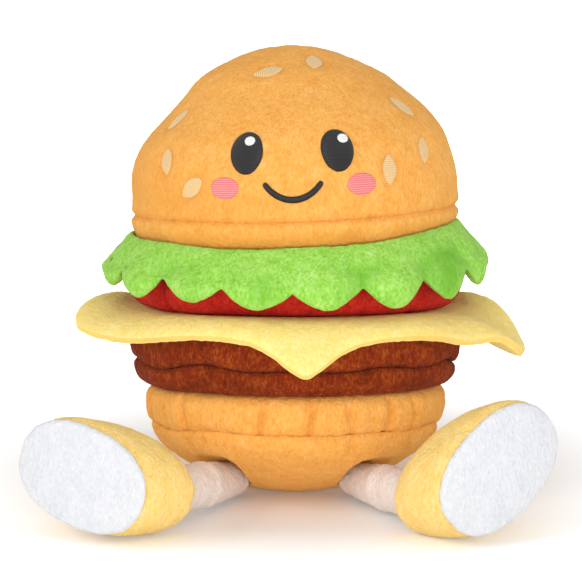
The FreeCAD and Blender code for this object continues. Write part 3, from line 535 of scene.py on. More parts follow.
def creases(around, level, turn, sway, pitch, width):
    """Narrow lines near the band's creases that wander sideways with the level: 1 in the middle of a line."""
    return sum(hump(from_crease(around, c + turn) + sway * np.sin(level / pitch + c), 0, width)
               for c in BAND_CREASES)


def bowl_puff(around, level):
    """The bowl bulges a little below its seam and sags unevenly, with the band's creases running on in it."""
    bulge = 0.9 * hump(level, BOWL_SEAM - 8, 6) + 0.7 * np.sin(3 * around + 0.6) * hump(level, 18, 10)
    lines = creases(around, level, turn=2, sway=1.5, pitch=5, width=2.4)
    return bulge - BOWL_CREASE_DEPTH * lines * hump(level, BOWL_SEAM - 7, 7)


def band_puff(around, level):
    """The band bulges between its seam and its top, with a ridge either side of each upright crease."""
    middle = 0.5 * (BOWL_SEAM + BUN_TOP)
    bulge = 0.8 * hump(level, middle + 1, 6.5) + 0.4 * gathers(around, 9, seed=3)
    lines = creases(around, level, turn=0, sway=1.2, pitch=4, width=2.0)
    ridges = sum(hump(np.abs(from_crease(around, c)), RIDGE_AWAY, 3) for c in BAND_CREASES)
    return bulge - BAND_CREASE_DEPTH * lines * hump(level, middle - 1, 8) + RIDGE_HEIGHT * ridges


bowl_grid, bowl_fold_shade = turned_cover(
    bowl_outline(), bowl_puff, BOWL_SEAM, depth=1.2, count=46, seed=11, waver=1.0)
for side in SIDES:
    bowl_grid = dent_for_leg(bowl_grid, side)
plush_piece("bottom_bun_bowl_cover", bowl_grid, BUN, "burger",
            stands_for=["bottom_bun_bowl", "bottom_bun_filling", "pellet_pouch", "pellets"], fold_shade=bowl_fold_shade)
band_grid, band_fold_shade = turned_cover(
    band_outline(), band_puff, BOWL_SEAM, depth=1.2, count=40, seed=12, waver=1.0)
plush_piece("bottom_bun_band_cover", band_grid, BUN, "burger",
            stands_for=["bottom_bun_band", "bottom_bun_seam_thread", "bun_patty_stitching"], fold_shade=band_fold_shade)

# %% [markdown]
# ## Patty
#
# The patty is two shallow covers sewn rim to rim. The upper one is fuller and hangs over the lower one.
# The seam wanders up and down, and a few tucks draw it in. Both covers are turned from an outline as
# the bun is, because only the rim shows.

# %% Patty covers
PATTY_RADIUS = 77.0
PATTY_ROUND = 7.0
PATTY_TUCK = 1.0
# Directions of the tucks round the stack, in degrees.
TUCKS = (-31, 26, -80, 75, 130, -140)
TUCK_DEPTH = 1.6
TUCK_WIDTH = 3.5


def patty_tucks(around, level):
    """Tucks: narrow hollows at the seam, at a few places round the patty."""
    pulled = sum(hump(turn_between(around, np.radians(t)) * PATTY_RADIUS, 0, TUCK_WIDTH) for t in TUCKS)
    return -TUCK_DEPTH * pulled * hump(level, PATTY_SEAM, 5)


def upper_patty_puff(around, level):
    """The upper cover bulges most a little above the seam, with slow lumps round it."""
    lumps = 1.3 * gathers(around, 8, seed=21) * hump(level, PATTY_SEAM + 6, 8)
    return 1.3 * hump(level, PATTY_SEAM + 8, 7) + lumps + patty_tucks(around, level)


def lower_patty_puff(around, level):
    """The lower cover narrows away from the seam, with slow lumps round it."""
    lumps = gathers(around, 9, seed=22) * hump(level, PATTY_SEAM - 5, 7)
    return 0.2 - ramp(PATTY_SEAM - level, 2, 10) + lumps + patty_tucks(around, level)


upper_outline = evenly(120, [(0, PATTY_SEAM - 1)], [(PATTY_RADIUS, PATTY_SEAM)],
                       arc((PATTY_RADIUS - PATTY_ROUND, PATTY_TOP - PATTY_ROUND), PATTY_ROUND, 0, 90),
                       [(0, PATTY_TOP)])
lower_radius = PATTY_RADIUS - PATTY_TUCK
lower_outline = evenly(110, [(0, BUN_TOP)],
                       arc((lower_radius - PATTY_ROUND, BUN_TOP + PATTY_ROUND), PATTY_ROUND, -90, 0),
                       [(lower_radius, PATTY_SEAM)], [(0, PATTY_SEAM + 1)])
patty_grid, patty_fold_shade = turned_cover(
    upper_outline, upper_patty_puff, PATTY_SEAM, depth=1.4, count=38, seed=23, waver=2.2)
plush_piece("patty_upper_plush", patty_grid, PATTY, "burger",
            stands_for=["patty_upper_cover", "patty_filling", "patty_cheese_stitching"], fold_shade=patty_fold_shade)
patty_grid, patty_fold_shade = turned_cover(
    lower_outline, lower_patty_puff, PATTY_SEAM, depth=1.4, count=38, seed=24, waver=2.2)
plush_piece("patty_lower_plush", patty_grid, PATTY, "burger",
            stands_for=["patty_lower_cover", "patty_seam_thread"], fold_shade=patty_fold_shade)

# %% [markdown]
# ## Cheese slice
#
# The slice is two squares of plush with thin wadding between, sewn round the rim. It lies flat on the
# patty and gives way past its edge, more at some corners than at others. We walk outwards along each
# direction and add up the slope: a sheet bent only one way keeps its length, which is what makes it
# read as cloth. The rim is drawn in along the middle, where the two squares are sewn.

# %% Cheese slice
CHEESE_SIDE_REACH = 89.0
CORNER_BLUNT = 0.02
CORNER_POWER = 1.5
CHEESE_CORNERS = ((2.5, 20, 10), (-79, 18, 21), (80, 27, 18), (180, 20, 15))
CHEESE_THICKNESS = 4.6
CHEESE_RIM = 7.8
CHEESE_SEAM_DEPTH = 1.1
CHEESE_SEAM_WIDTH = 0.7
CHEESE_BEND_START = 73.0
CHEESE_BEND_LENGTH = 11.0
CHEESE_WAVE = np.radians(5)
CHEESE_FULLNESS = 18
CHEESE_SMOOTHING = 12
# Directions round the stack, and how steeply the slice slopes down there, in degrees.
CHEESE_SLOPES = (
    (-180, 42), (-150, 30), (-125, -14), (-108, -26), (-94, -8), (-80, 8), (-68, 17), (-56, 35),
    (-45, 46), (-18, 47), (0, 44), (18, 48), (45, 50), (59, 45), (68, 16), (78, 27), (88, 19),
    (97, -6), (110, -24), (126, -14), (150, 30), (180, 42),
)


def cheese_reach(around):
    """How far the slice reaches along its cloth: an even reach, with a lobe at each of four corners.

    A corner is a direction, how much further it reaches, and its half width in degrees.
    """
    reach = np.full(around.shape, CHEESE_SIDE_REACH)
    for middle, further, width in CHEESE_CORNERS:
        away = np.degrees(turn_between(around, np.radians(middle))) / width
        reach = reach + further * np.exp(-np.sqrt(away ** 2 + CORNER_BLUNT) ** CORNER_POWER)
    return reach


def cheese_grid(columns=480, rows=100):
    """Top face from the middle to the rim, then the underside back to the middle, about a bent sheet."""
    around = directions(columns)
    share = 1 - (1 - np.linspace(0, 1, rows)[:, None]) ** 2
    run = share * cheese_reach(around)
    slopes = np.array(CHEESE_SLOPES, float)
    turn = np.interp(np.degrees(around), slopes[:, 0], slopes[:, 1])
    kernel = hump(np.arange(-CHEESE_SMOOTHING, CHEESE_SMOOTHING + 1), 0, 5.6)
    turn = np.r_[turn[-CHEESE_SMOOTHING:], turn, turn[:CHEESE_SMOOTHING]]
    turn = np.convolve(turn, kernel / kernel.sum(), mode="valid")
    slope = np.radians(turn) * ramp(run, CHEESE_BEND_START, CHEESE_BEND_START + CHEESE_BEND_LENGTH)
    slope = slope + CHEESE_WAVE * np.sin(5 * around + 0.8) * ramp(run, 60, 90)
    step = np.diff(run, axis=0, prepend=0)
    radius = np.cumsum(step * np.cos(slope), axis=0)
    level = 0.5 * (PATTY_TOP + CHEESE_TOP) - np.cumsum(step * np.sin(slope), axis=0)
    sheet = on_stack(radius, around, level)
    outward = np.gradient(sheet, axis=0)
    normal = unit(np.cross(outward, np.roll(sheet, -1, axis=1) - np.roll(sheet, 1, axis=1)))
    normal = np.where(normal[rows // 2, 0, 2] > 0, normal, -normal)
    fatter = (CHEESE_RIM - CHEESE_THICKNESS) * (1 + 0.2 * gathers(around, 11, seed=34))
    wadding = CHEESE_THICKNESS + fatter * ramp(run, 72, 88)
    half = 0.5 * (wadding * np.sqrt(np.maximum(1 - share ** CHEESE_FULLNESS, 0)))[..., None]
    seam = hump((1 - share) * cheese_reach(around), 0, CHEESE_SEAM_WIDTH)
    sheet = sheet - unit(outward) * (CHEESE_SEAM_DEPTH * seam)[..., None]
    top, under = sheet + normal * half, sheet - normal * half
    return np.concatenate([top, under[::-1][1:]]), np.concatenate([seam, seam[::-1][1:]])


cheese_points, cheese_seam = cheese_grid()
# Painted shade along the rim's seam, where the two squares are sewn.
plush_piece("cheese_slice_plush", cheese_points, CHEESE, "burger",
            stands_for=["cheese_slice", "cheese_tomato_stitching"], fold_shade=0.7 * cheese_seam)

# %% [markdown]
# ## Tomato
#
# One fat disc. Only its rim shows, squeezed between the slice and the leaf, with a few soft pleats, so
# it is turned from an outline too.

# %% Tomato cover
TOMATO_RADIUS = 79.0
TOMATO_ROUND = 12.0
# Pleats: direction round the stack in degrees, and depth in millimetres.
PLEATS = (
    (-50, 2.6), (-22, 1.0), (24, 1.2), (47, 1.5), (-85, 1.6), (84, 1.8), (130, 1.8), (-130, 1.8), (178, 1.5),
)
PLEAT_WIDTH = 3.2


def tomato_puff(around, level):
    """The rim swells and sags in slow waves, with pleats between them."""
    swell = 1.4 * gathers(around, 5, seed=31) + 0.8 * hump(level, CHEESE_TOP + 9, 7)
    for place, depth in PLEATS:
        away = turn_between(around, np.radians(place)) * TOMATO_RADIUS
        swell = swell - depth * hump(away, 0, PLEAT_WIDTH)
    return swell


tomato_outline = evenly(
    130, [(0, CHEESE_TOP + 0.5)],
    arc((TOMATO_RADIUS - TOMATO_ROUND, CHEESE_TOP + TOMATO_ROUND), TOMATO_ROUND, -90, 0),
    arc((TOMATO_RADIUS - TOMATO_ROUND, TOMATO_TOP - TOMATO_ROUND), TOMATO_ROUND, 0, 90), [(0, TOMATO_TOP)])
tomato_grid, tomato_fold_shade = turned_cover(
    tomato_outline, tomato_puff, CHEESE_TOP, depth=1.0, count=30, seed=32)
plush_piece("tomato_plush_cover", tomato_grid, TOMATO, "burger",
            stands_for=["tomato_cover", "tomato_filling", "tomato_lettuce_stitching"], fold_shade=tomato_fold_shade)

# %% [markdown]
# ## Lettuce leaf
#
# The leaf is a double layer of plush, cut in scallops along its hem and turned right side out, so its
# edge is fat and soft. It comes out from under the top bun, hugs the bun's edge, swells and hangs. A
# flat ring could be draped by simulation. Here its cross-section is a closed curve through a few points
# instead, and the hem's point moves with the scallops, so that each of them can be placed. Slow noise
# makes the leaf billow, and shade is painted into its hollows and the notches between scallops.

# %% Lettuce leaf
SCALLOPS = 17
SCALLOP_TURN = np.radians(9.5)
SCALLOP_DEPTH = 10.0
UNEVEN = 1.4
LEAF_LIP = 126.3
LEAF_HEM = 100.5
LEAF_FALL = 8.0
HEM_FALL = 10.4
HEM_TILT = 3.0
LEAF_BILLOW = 15.0
LEAF_PUFF = 1.7
LEAF_FULLER = 0.5
LEAF_FULLER_TURN = np.radians(-84)
LEAF_REACH = 89.0
LEAF_SWELL = 5.2
LEAF_INNER = 68.0
LEAF_COLUMNS = SCALLOPS * 34


def closed_curve(points, count):
    """A smooth closed curve through control points (first axis), by the Catmull-Rom cubic."""
    number = len(points)
    at = np.linspace(0, number, count, endpoint=False)
    index = at.astype(int)
    t = (at - index)[:, None, None]
    before, start, end, after = (points[(index + k) % number] for k in (-1, 0, 1, 2))
    return 0.5 * (2 * start + (end - before) * t + (2 * before - 5 * start + 4 * end - after) * t ** 2
                  + (3 * start - before - 3 * end + after) * t ** 3)


def leaf_grid(rows=96):
    """A ring whose section runs over the bun's edge, out, down to the scalloped hem and back up inside."""
    around = directions(LEAF_COLUMNS)
    phase = 0.5 * SCALLOPS * (around - SCALLOP_TURN)
    wave = 1 - np.abs(np.cos(phase)) ** 1.1
    each = np.floor(phase / np.pi + 0.5).astype(int) % SCALLOPS
    drop = np.random.default_rng(41).uniform(-UNEVEN, UNEVEN, SCALLOPS)[each] * (1 - wave)
    fuller = LEAF_FULLER * hump(turn_between(around, LEAF_FULLER_TURN), 0, 0.4)
    sway = 1.3 * gathers(around, 4, seed=42) + 0.8 * gathers(around, 9, seed=43) + fuller
    front = 1 - ramp(np.abs(around), 0, np.radians(95))
    lip = LEAF_LIP - LEAF_FALL * front + 0.8 * np.sin(around) + 0.7 * gathers(around, 6, seed=44)
    hem = LEAF_HEM - HEM_FALL * front - HEM_TILT * np.sin(around) + SCALLOP_DEPTH * wave + drop
    reach = LEAF_REACH + sway - 1.6 * wave
    swell = LEAF_SWELL * (0.45 - wave) + 0.6 * sway
    section = (
        (LEAF_INNER, LETTUCE_TOP - 0.2),                            # inner edge, upper layer
        (74.5, 0.35 * (LETTUCE_TOP + 0.5) + 0.65 * lip),            # rising past the bun's edge
        (77.4 + 0.3 * sway, lip),                                   # lip
        (82.8 + 0.6 * sway + 0.15 * swell, lip - 6.0),              # turning down
        (87.2 + 0.6 * swell, lip - 12.5),                           # upper part of the swell
        (89.8 + swell, 0.5 * (lip - 12) + 0.5 * hem),               # widest line
        (reach, hem),                                               # hem
        (reach - 5.2, hem + 3.0),                                   # hem, lower layer
        (83.4 + 0.4 * sway, 0.5 * (lip - 11) + 0.5 * (hem + 4)),    # back up inside
        (80.0, np.minimum(lip - 9, TOMATO_TOP)),                    # on the tomato's edge
        (LEAF_INNER, TOMATO_TOP + 0.4),                             # inner edge, lower layer
    )
    points = np.stack([np.stack(np.broadcast_arrays(*pair, around)[:2], axis=-1) for pair in section])
    curve = closed_curve(points, rows)
    low = ramp(lip - curve[..., 1], 6, 20)
    grid = on_stack(curve[..., 0], around, curve[..., 1], UPPER_ROLL)
    billow = lattice_noise(grid, LEAF_BILLOW, seed=46) * ramp(curve[..., 0], 82, 87)
    grid = grid + normals_of(grid, True) * (LEAF_PUFF * billow)[..., None]
    # Painted shade in the notches between scallops low on the leaf and in the billow's hollows.
    return grid, np.clip(0.45 * wave ** 2 * low - 0.9 * billow, 0, 0.8)


leaf_points, leaf_fold_shade = leaf_grid()
plush_piece("lettuce_leaf_plush", leaf_points, LEAF, "burger",
            stands_for=["lettuce_leaf", "lettuce_bun_stitching"], ring=True, fold_shade=leaf_fold_shade)

# %% [markdown]
# ## Top bun
#
# The crown is a dome of gores whose joins are lost in the pile, sewn to a low base. Its outline is the
# solid's: an upright side, a rounded side, a straight shoulder and a round top. It could be sculpted,
# but turned from that outline it stays the solid's size. Stuffing makes it fuller on one side.

# %% Outline of the crown
BUN_RADIUS = 78.0
SIDE_LEVEL = 145.0
CROWN_SIDE = 38.0
SHOULDER = 45.0
SHOULDER_RUN = 20.2
CROWN_TOP = CROWN_SIDE + (BUN_RADIUS - CROWN_SIDE - SHOULDER_RUN) / np.sin(np.radians(SHOULDER))
CROWN_MIDDLE = (SIDE_LEVEL + (CROWN_SIDE - CROWN_TOP) * np.cos(np.radians(SHOULDER))
                + SHOULDER_RUN * np.tan(np.radians(SHOULDER)))
SEAM_LAP = 0.35
CROWN_ROWS = 200
crown_outline = evenly(
    CROWN_ROWS, [(0, CROWN_SEAM - 1)], [(BUN_RADIUS, CROWN_SEAM - SEAM_LAP)],
    arc((BUN_RADIUS - CROWN_SIDE, SIDE_LEVEL), CROWN_SIDE, 0, 90 - SHOULDER),
    arc((0, CROWN_MIDDLE), CROWN_TOP, 90 - SHOULDER, 90))
OUTLINE_RUN = run_along(crown_outline)
print("the crown's top is at level", round(crown_outline[-1, 1], 1))

# %% Crown
FULLER_SIDE = 2.9
SHOULDER_LEVEL = 181
TOP_LEVEL = 200
SEAM_SAG = 3.2
SEAM_DEPTH = 1.5


def slack(around, level):
    """How much the cover gives above the seam: nothing on the right, most on the left."""
    return 0.8 * (1 - np.sin(around)) * hump(level, CROWN_SEAM + 8, 13)


def crown_puff(around, level):
    """Fuller to the right and flatter to the left on the shoulder, with slow uneven stuffing."""
    shoulder = (2.8 + FULLER_SIDE * np.sin(around)) * hump(level, SHOULDER_LEVEL, 15)
    shoulder = shoulder + 2.0 * hump(level, TOP_LEVEL, 8)
    return shoulder - slack(around, level) + 0.6 * np.sin(2 * around + 1.1) * hump(level, 165, 22)


crown_grid, crown_fold_shade = turned_cover(
    crown_outline, crown_puff, CROWN_SEAM, SEAM_DEPTH, count=52, seed=51, roll=UPPER_ROLL, sag=SEAM_SAG)
print("crown:", crown_grid.shape[0], "rows of", crown_grid.shape[1])

# %% Hollows for the seeds
# Seeds: direction round the stack, angle above the crown's middle and tilt, in degrees.
SEEDS = (
    (-61, 29, 25), (-51, 11, -20), (-37, 2, 60), (56, 32, -25), (35, 6, 5), (54, 12, 15),
    (-14, 55, 70), (22, 62, 20), (-100, 22, 10), (-128, 48, -40), (-148, 12, 30),
    (172, 30, 0), (150, 58, 55), (128, 10, -15), (98, 36, 35),
)
SEED_HOLLOW = 1.3
HOLLOW_HALF = (5.2, 8.6)
above_seam = OUTLINE_RUN > BUN_RADIUS
crown_angle = np.degrees(np.arctan2(crown_outline[:, 1] - CROWN_MIDDLE, crown_outline[:, 0]))
SEED_PLACES = [
    (np.radians(around), np.interp(above, crown_angle[above_seam], OUTLINE_RUN[above_seam]), np.radians(tilt))
    for around, above, tilt in SEEDS
]


def seed_dimples():
    """How deep the cover is stitched down about each seed: a soft oval hollow wider than the seed."""
    hollow = np.zeros(crown_grid.shape[:2])
    for around, run, tilt in SEED_PLACES:
        radius = np.interp(run, OUTLINE_RUN, crown_outline[:, 0])
        sideways = turn_between(AROUND, around) * radius
        upwards = OUTLINE_RUN[:, None] - run
        across = sideways * np.cos(tilt) - upwards * np.sin(tilt)
        up = sideways * np.sin(tilt) + upwards * np.cos(tilt)
        away = (across / HOLLOW_HALF[0]) ** 2 + (up / HOLLOW_HALF[1]) ** 2
        hollow = hollow + SEED_HOLLOW * np.exp(-away ** 2)
    return hollow


dimples = seed_dimples()
crown_grid = crown_grid - normals_of(crown_grid, False) * dimples[..., None]
# Painted shade in the hollows about the seeds.
crown_fold_shade = crown_fold_shade + 0.35 * dimples / SEED_HOLLOW
plush_piece("top_bun_crown_cover", crown_grid, BUN, "burger",
            stands_for=["top_bun_crown", "top_bun_filling", "crown_seam_thread"], fold_shade=crown_fold_shade)

# %% Base of the top bun
BASE_ROUND = 10.0
BASE_ROWS = 110


def base_puff(around, level):
    """The base narrows towards the leaf, with soft gathers below the seam."""
    narrow = 2.4 * ramp(CROWN_SEAM - level, 2, 11) + slack(around, level)
    return 0.5 * gathers(around, 14, seed=53) * ramp(CROWN_SEAM - level, 2, 8) - narrow


base_outline = evenly(
    BASE_ROWS, [(0, LETTUCE_TOP)],
    arc((BUN_RADIUS - BASE_ROUND, LETTUCE_TOP + BASE_ROUND), BASE_ROUND, -90, 0),
    [(BUN_RADIUS, CROWN_SEAM + SEAM_LAP)], [(0, CROWN_SEAM + 1)])
base_grid, base_fold_shade = turned_cover(
    base_outline, base_puff, CROWN_SEAM, SEAM_DEPTH, count=52, seed=52, roll=UPPER_ROLL, sag=SEAM_SAG)
plush_piece("top_bun_base_cover", base_grid, BUN, "burger",
            stands_for=["top_bun_base"], fold_shade=base_fold_shade)

# %% [markdown]
# ## Embroidery
#
# The face and the sesame seeds are satin stitch: rayon thread laid side by side across each shape over
# a little padding. Rayon is smooth, so the ridges have a soft shine. Threads could be modelled one by
# one, but at this size ridges in the finish are enough. Such threads lie about 0.4 mm apart, and they
# are drawn about twice as coarse, or they would not show. Every patch is a low pillow that follows the
# crown's own grid, so it sits in the pile from any side. The face is a plain one: two oval eyes with a
# round glint, two cheeks and a smile.

# %% Satin thread finish
THREAD_PITCH = 0.85
THREAD_SWAY = 1.8
SWAY_SIZE = 2.5 * MM
THREAD_BUMP = 0.25 * MM


def satin(name, dark, body, gloss=0.38):
    """Satin stitch: ridges across the patch from a value that counts threads, painted shade between the
    ridges, and a soft silky gloss.
    """
    finish, tree = new_finish(name)
    count = add(tree, "ShaderNodeAttribute", attribute_name="thread").outputs["Fac"]
    place = add(tree, "ShaderNodeTexCoord").outputs["Object"]
    jitter = add(tree, "ShaderNodeTexNoise", {"Vector": place, "Scale": 1 / SWAY_SIZE, "Detail": 2.0})
    angle = add(tree, "ShaderNodeMath", {0: jitter.outputs["Fac"], 1: THREAD_SWAY, 2: count},
                operation="MULTIPLY_ADD")
    ridge = add(tree, "ShaderNodeMath", {0: angle.outputs[0]}, operation="SINE")
    level = add(tree, "ShaderNodeMath", {0: ridge.outputs[0], 1: 0.5, 2: 0.5}, operation="MULTIPLY_ADD")
    # Painted shade: the colour goes to the dark tone where the ridges are low, between the threads.
    mixed = add(tree, "ShaderNodeMix", {"Factor": level.outputs[0], 6: linear(dark), 7: linear(body)},
                data_type="RGBA")
    bump = add(tree, "ShaderNodeBump", {
        "Height": level.outputs[0], "Distance": THREAD_BUMP, "Strength": 0.6})
    skin = add(tree, "ShaderNodeBsdfPrincipled", {
        "Base Color": mixed.outputs[2], "Roughness": gloss, "Specular IOR Level": 0.35,
        "Normal": bump.outputs["Normal"]})
    add(tree, "ShaderNodeOutputMaterial", {"Surface": skin.outputs["BSDF"]})
    return finish


BLACK_THREAD = satin("black_rayon_satin_stitch", "#0B0A0A", "#242020")
WHITE_THREAD = satin("white_rayon_satin_stitch", "#DADADA", "#FBFBFA")
PINK_THREAD = satin("pink_rayon_satin_stitch", "#D9686C", "#F39A97")
SEED_THREAD = satin("cream_rayon_satin_stitch", "#D9A866", "#F3D6A0")
print("thread finishes:", sum("satin" in m.name for m in bpy.data.materials))

# %% Places on the crown
CROWN_NORMALS = normals_of(crown_grid, False)


def crown_place(around, run):
    """Place and normal on the crown's cover, by blending its grid between rows and columns."""
    row = np.clip(np.interp(run, OUTLINE_RUN, np.arange(CROWN_ROWS)), 0, CROWN_ROWS - 1.001)
    column = (around + np.pi) / (2 * np.pi) * ROUND_COLUMNS
    r0, c0 = np.floor(row).astype(int), np.floor(column).astype(int)
    fr, fc = (row - r0)[..., None], (column - c0)[..., None]
    blended = []
    for grid in (crown_grid, CROWN_NORMALS):
        corner = [[grid[r0 + i, (c0 + j) % ROUND_COLUMNS] for j in (0, 1)] for i in (0, 1)]
        near = corner[0][0] * (1 - fc) + corner[0][1] * fc
        far = corner[1][0] * (1 - fc) + corner[1][1] * fc
        blended.append(near * (1 - fr) + far * fr)
    return blended


def front_run(level):
    """How far along the crown's outline the side first reaches a level above the seam."""
    outside = crown_outline[:, 0] > 1
    rising = outside & (OUTLINE_RUN > BUN_RADIUS - 2)
    return np.interp(level, crown_outline[rising, 1], OUTLINE_RUN[rising])


def front_turn(across, level):
    """The direction round the crown at which a place lies that far across the face."""
    radius = np.interp(front_run(level), OUTLINE_RUN, crown_outline[:, 0])
    return np.arcsin(across / radius)


print("20 mm across the face is a turn of", round(np.degrees(front_turn(20, CROWN_SEAM + 20)), 1), "degrees")

# %% Eyes and cheeks
PATCH_HEIGHT = 0.9
PATCH_ROOT = 0.7


def stitched(name, grid, thread, finish):
    """A piece of embroidery on the burger, which stands for the solid that it is named after."""
    patch = mesh_of(name, grid, {"thread": thread})
    patch.data.materials.append(finish)
    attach(patch, "burger")
    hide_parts(name.removesuffix("_stitch"))


def satin_patch(name, around, run, shape, tilt, finish, lift=0.0, height=PATCH_HEIGHT,
                rows=22, columns=72):
    """A pillow of thread on the crown: shape gives the rim's half sizes at each angle, in millimetres."""
    angle = np.linspace(0, 2 * np.pi, columns, endpoint=False)
    out = np.concatenate([np.sin(np.linspace(0, np.pi / 2, rows)), np.linspace(1, 0, rows // 2)[1:]])[:, None]
    top = np.arange(len(out))[:, None] < rows
    wide, tall = shape(angle)
    across, up = out * wide, out * tall
    sideways = across * np.cos(tilt) + up * np.sin(tilt)
    upwards = up * np.cos(tilt) - across * np.sin(tilt)
    radius = np.interp(run, OUTLINE_RUN, crown_outline[:, 0])
    place, normal = crown_place(around + sideways / radius, run + upwards)
    raised = np.where(top, lift + height * (1 - out ** 6) ** 0.5, lift - PATCH_ROOT)
    thread = 2 * np.pi * np.broadcast_to(up, place.shape[:2]) / THREAD_PITCH
    stitched(name, place + normal * raised[..., None], thread, finish)


def oval(half_wide, half_tall, point=0.0):
    """An oval rim, drawn to a point at both ends by narrowing it away from its middle."""
    def rim(angle):
        return half_wide * np.cos(angle) * (1 - point * np.sin(angle) ** 2), half_tall * np.sin(angle)
    return rim


EYE_LEVEL = LETTUCE_TOP + 46
CHEEK_LEVEL = LETTUCE_TOP + 31
EYE_ACROSS = 20
CHEEK_ACROSS = 31
EYE_RIM = oval(7.5, 10.5)
GLINT_RIM = oval(2.4, 2.4)
CHEEK_RIM = oval(7.0, 4.5)
GLINT_LEVEL = EYE_LEVEL + 4.0
GLINT_ASIDE = 2.0
for side, sign in SIDES.items():
    satin_patch(f"{side}_eye_stitch", front_turn(sign * EYE_ACROSS, EYE_LEVEL), front_run(EYE_LEVEL),
                EYE_RIM, 0.0, BLACK_THREAD, height=1.2)
    satin_patch(f"{side}_eye_glint_stitch", front_turn(sign * EYE_ACROSS + GLINT_ASIDE, GLINT_LEVEL),
                front_run(GLINT_LEVEL), GLINT_RIM, 0.0, WHITE_THREAD, lift=1.0,
                height=0.7, rows=12, columns=40)
    satin_patch(f"{side}_cheek_stitch", front_turn(sign * CHEEK_ACROSS, CHEEK_LEVEL), front_run(CHEEK_LEVEL),
                CHEEK_RIM, 0.0, PINK_THREAD)

# %% Smile
SMILE_LEVEL = LETTUCE_TOP + 42
SMILE_RADIUS = 16.0
SMILE_HALF_WIDTH = 1.3
SMILE_HEIGHT = 1.1
SMILE_HALF_ANGLE = np.radians(55)


def smile_grid(rows=120, columns=20):
    """A rounded band along an arc that opens upwards, closed at both ends, on the crown's cover."""
    along = np.linspace(-1, 1, rows)[:, None]
    ring = np.linspace(0, 2 * np.pi, columns, endpoint=False)
    end = np.sqrt(np.maximum(1 - np.abs(along) ** 24, 0))
    turn = SMILE_HALF_ANGLE * along
    radius = SMILE_RADIUS + SMILE_HALF_WIDTH * end * np.cos(ring)
    across, level = radius * np.sin(turn), SMILE_LEVEL - radius * np.cos(turn)
    place, normal = crown_place(front_turn(across, level), front_run(level))
    raised = end * np.sin(ring) * np.where(np.sin(ring) > 0, SMILE_HEIGHT, PATCH_ROOT)
    thread = np.broadcast_to(2 * np.pi * turn * SMILE_RADIUS / THREAD_PITCH, place.shape[:2])
    return place + normal * raised[..., None], thread


smile_points, smile_thread = smile_grid()
stitched("smile_stitch", smile_points, smile_thread, BLACK_THREAD)

# %% Sesame seeds
SEED_RIM = oval(3.9, 6.9, point=0.35)
for number, (around, run, tilt) in enumerate(SEED_PLACES, start=1):
    satin_patch(f"sesame_seed_{number:02d}_stitch", around, run, SEED_RIM, tilt, SEED_THREAD,
                lift=0.1, height=0.9, rows=14, columns=48)

# %% [markdown]
# ## Legs and shoes
#
# Each leg is a limp tube with a gathered root in the bun. Its shoe is a boot-shaped pocket that grows
# from a round cuff to an oval sole, and the sole is a padded oval of white plush sewn to its rim. Leg
# and shoe are grids about the leg's own line. The shoe and the sole ride on the foot. The leg's cover
# could be two stiff pieces, but one piece from the hip into the shoe leaves no gap.

# %% Legs
HIP_BALL = 8.2
BALL_END = 88.0
LEG_RADIUS = 10.5
LEG_TAPER = 25.0
LEG_LENGTH = 60.0
# Two distances from the hip along the leg.
LEG_BEND = (2.0, 36.0)
LEG_ROWS = 150
LEG_COLUMNS = 160
LEG_CREASE = 0.45
LEG_CREASE_PITCH = 2.1
LEG_SAG = 0.5
LEG_SLACK = 0.4
LEG_SEEDS = {"left": 61, "right": 62}


def round_line(middle, along, up, side_way, ahead, wide, tall, angle, shift=0.0, square=0.0):
    """Places on an oval about a line: ahead along it, shifted towards up, at an angle round it.

    Square fills the oval out towards its corners: the cosine and the sine are raised to a power below 1.
    """
    power = 1 - square
    upward = np.sign(np.cos(angle)) * np.abs(np.cos(angle)) ** power
    sideward = np.sign(np.sin(angle)) * np.abs(np.sin(angle)) ** power
    return (middle + ahead[..., None] * along
            + (shift + tall * upward)[..., None] * up
            + (wide * sideward)[..., None] * side_way)


def leg_grid(side):
    """A tube from the root's ball through its taper to the end in the shoe, with soft rings of creases."""
    hip, _, along, toe, across = leg_frame(side)
    outline = evenly(LEG_ROWS, arc((0, 0), HIP_BALL, 180, BALL_END),
                     [(LEG_TAPER, LEG_RADIUS), (LEG_LENGTH, LEG_RADIUS)], [(LEG_LENGTH, 0)])
    ahead, radius = outline[:, :1], np.maximum(outline[:, 1:], 0)
    angle = directions(LEG_COLUMNS)
    seed = LEG_SEEDS[side]
    rings = np.sin(ahead / LEG_CREASE_PITCH + 1.3 * np.sin(angle + seed)) * hump(ahead, LEG_TAPER + 4, 9)
    sag = LEG_SAG * np.sin(2 * angle + seed) * hump(ahead, 34, 16)
    swollen = radius + ramp(radius, 3, LEG_RADIUS) * (LEG_CREASE * rings + sag - LEG_SLACK)
    ahead = np.broadcast_to(ahead, swollen.shape)
    return round_line(hip, along, toe, across, ahead, swollen, swollen, angle)


print("a leg is", LEG_LENGTH, "mm from its hip to its end in the shoe, and", 2 * LEG_RADIUS, "mm thick")

# %% Shoes
SHOE_START = 4.0
SHOE_DEPTH = 39.0
# At steps along the leg's line past the ankle: shift towards the toe, half length and half width.
SHOE_STEPS = (4, 8, 14, 25, 35, 39)
SHOE_SHIFT = (1.0, 8, 15, 21, 24.4, 25)
SHOE_HALF_LENGTH = (12.8, 22.5, 29.5, 33.6, 34.4, 33.4)
SHOE_HALF_WIDTH = (12.6, 18, 21.6, 23.2, 23.2, 22.0)
SHOE_SQUARE = 0.13
SHOE_COLUMNS = 220
CUFF_ROLL = 1.5
CAP_ROWS = 12


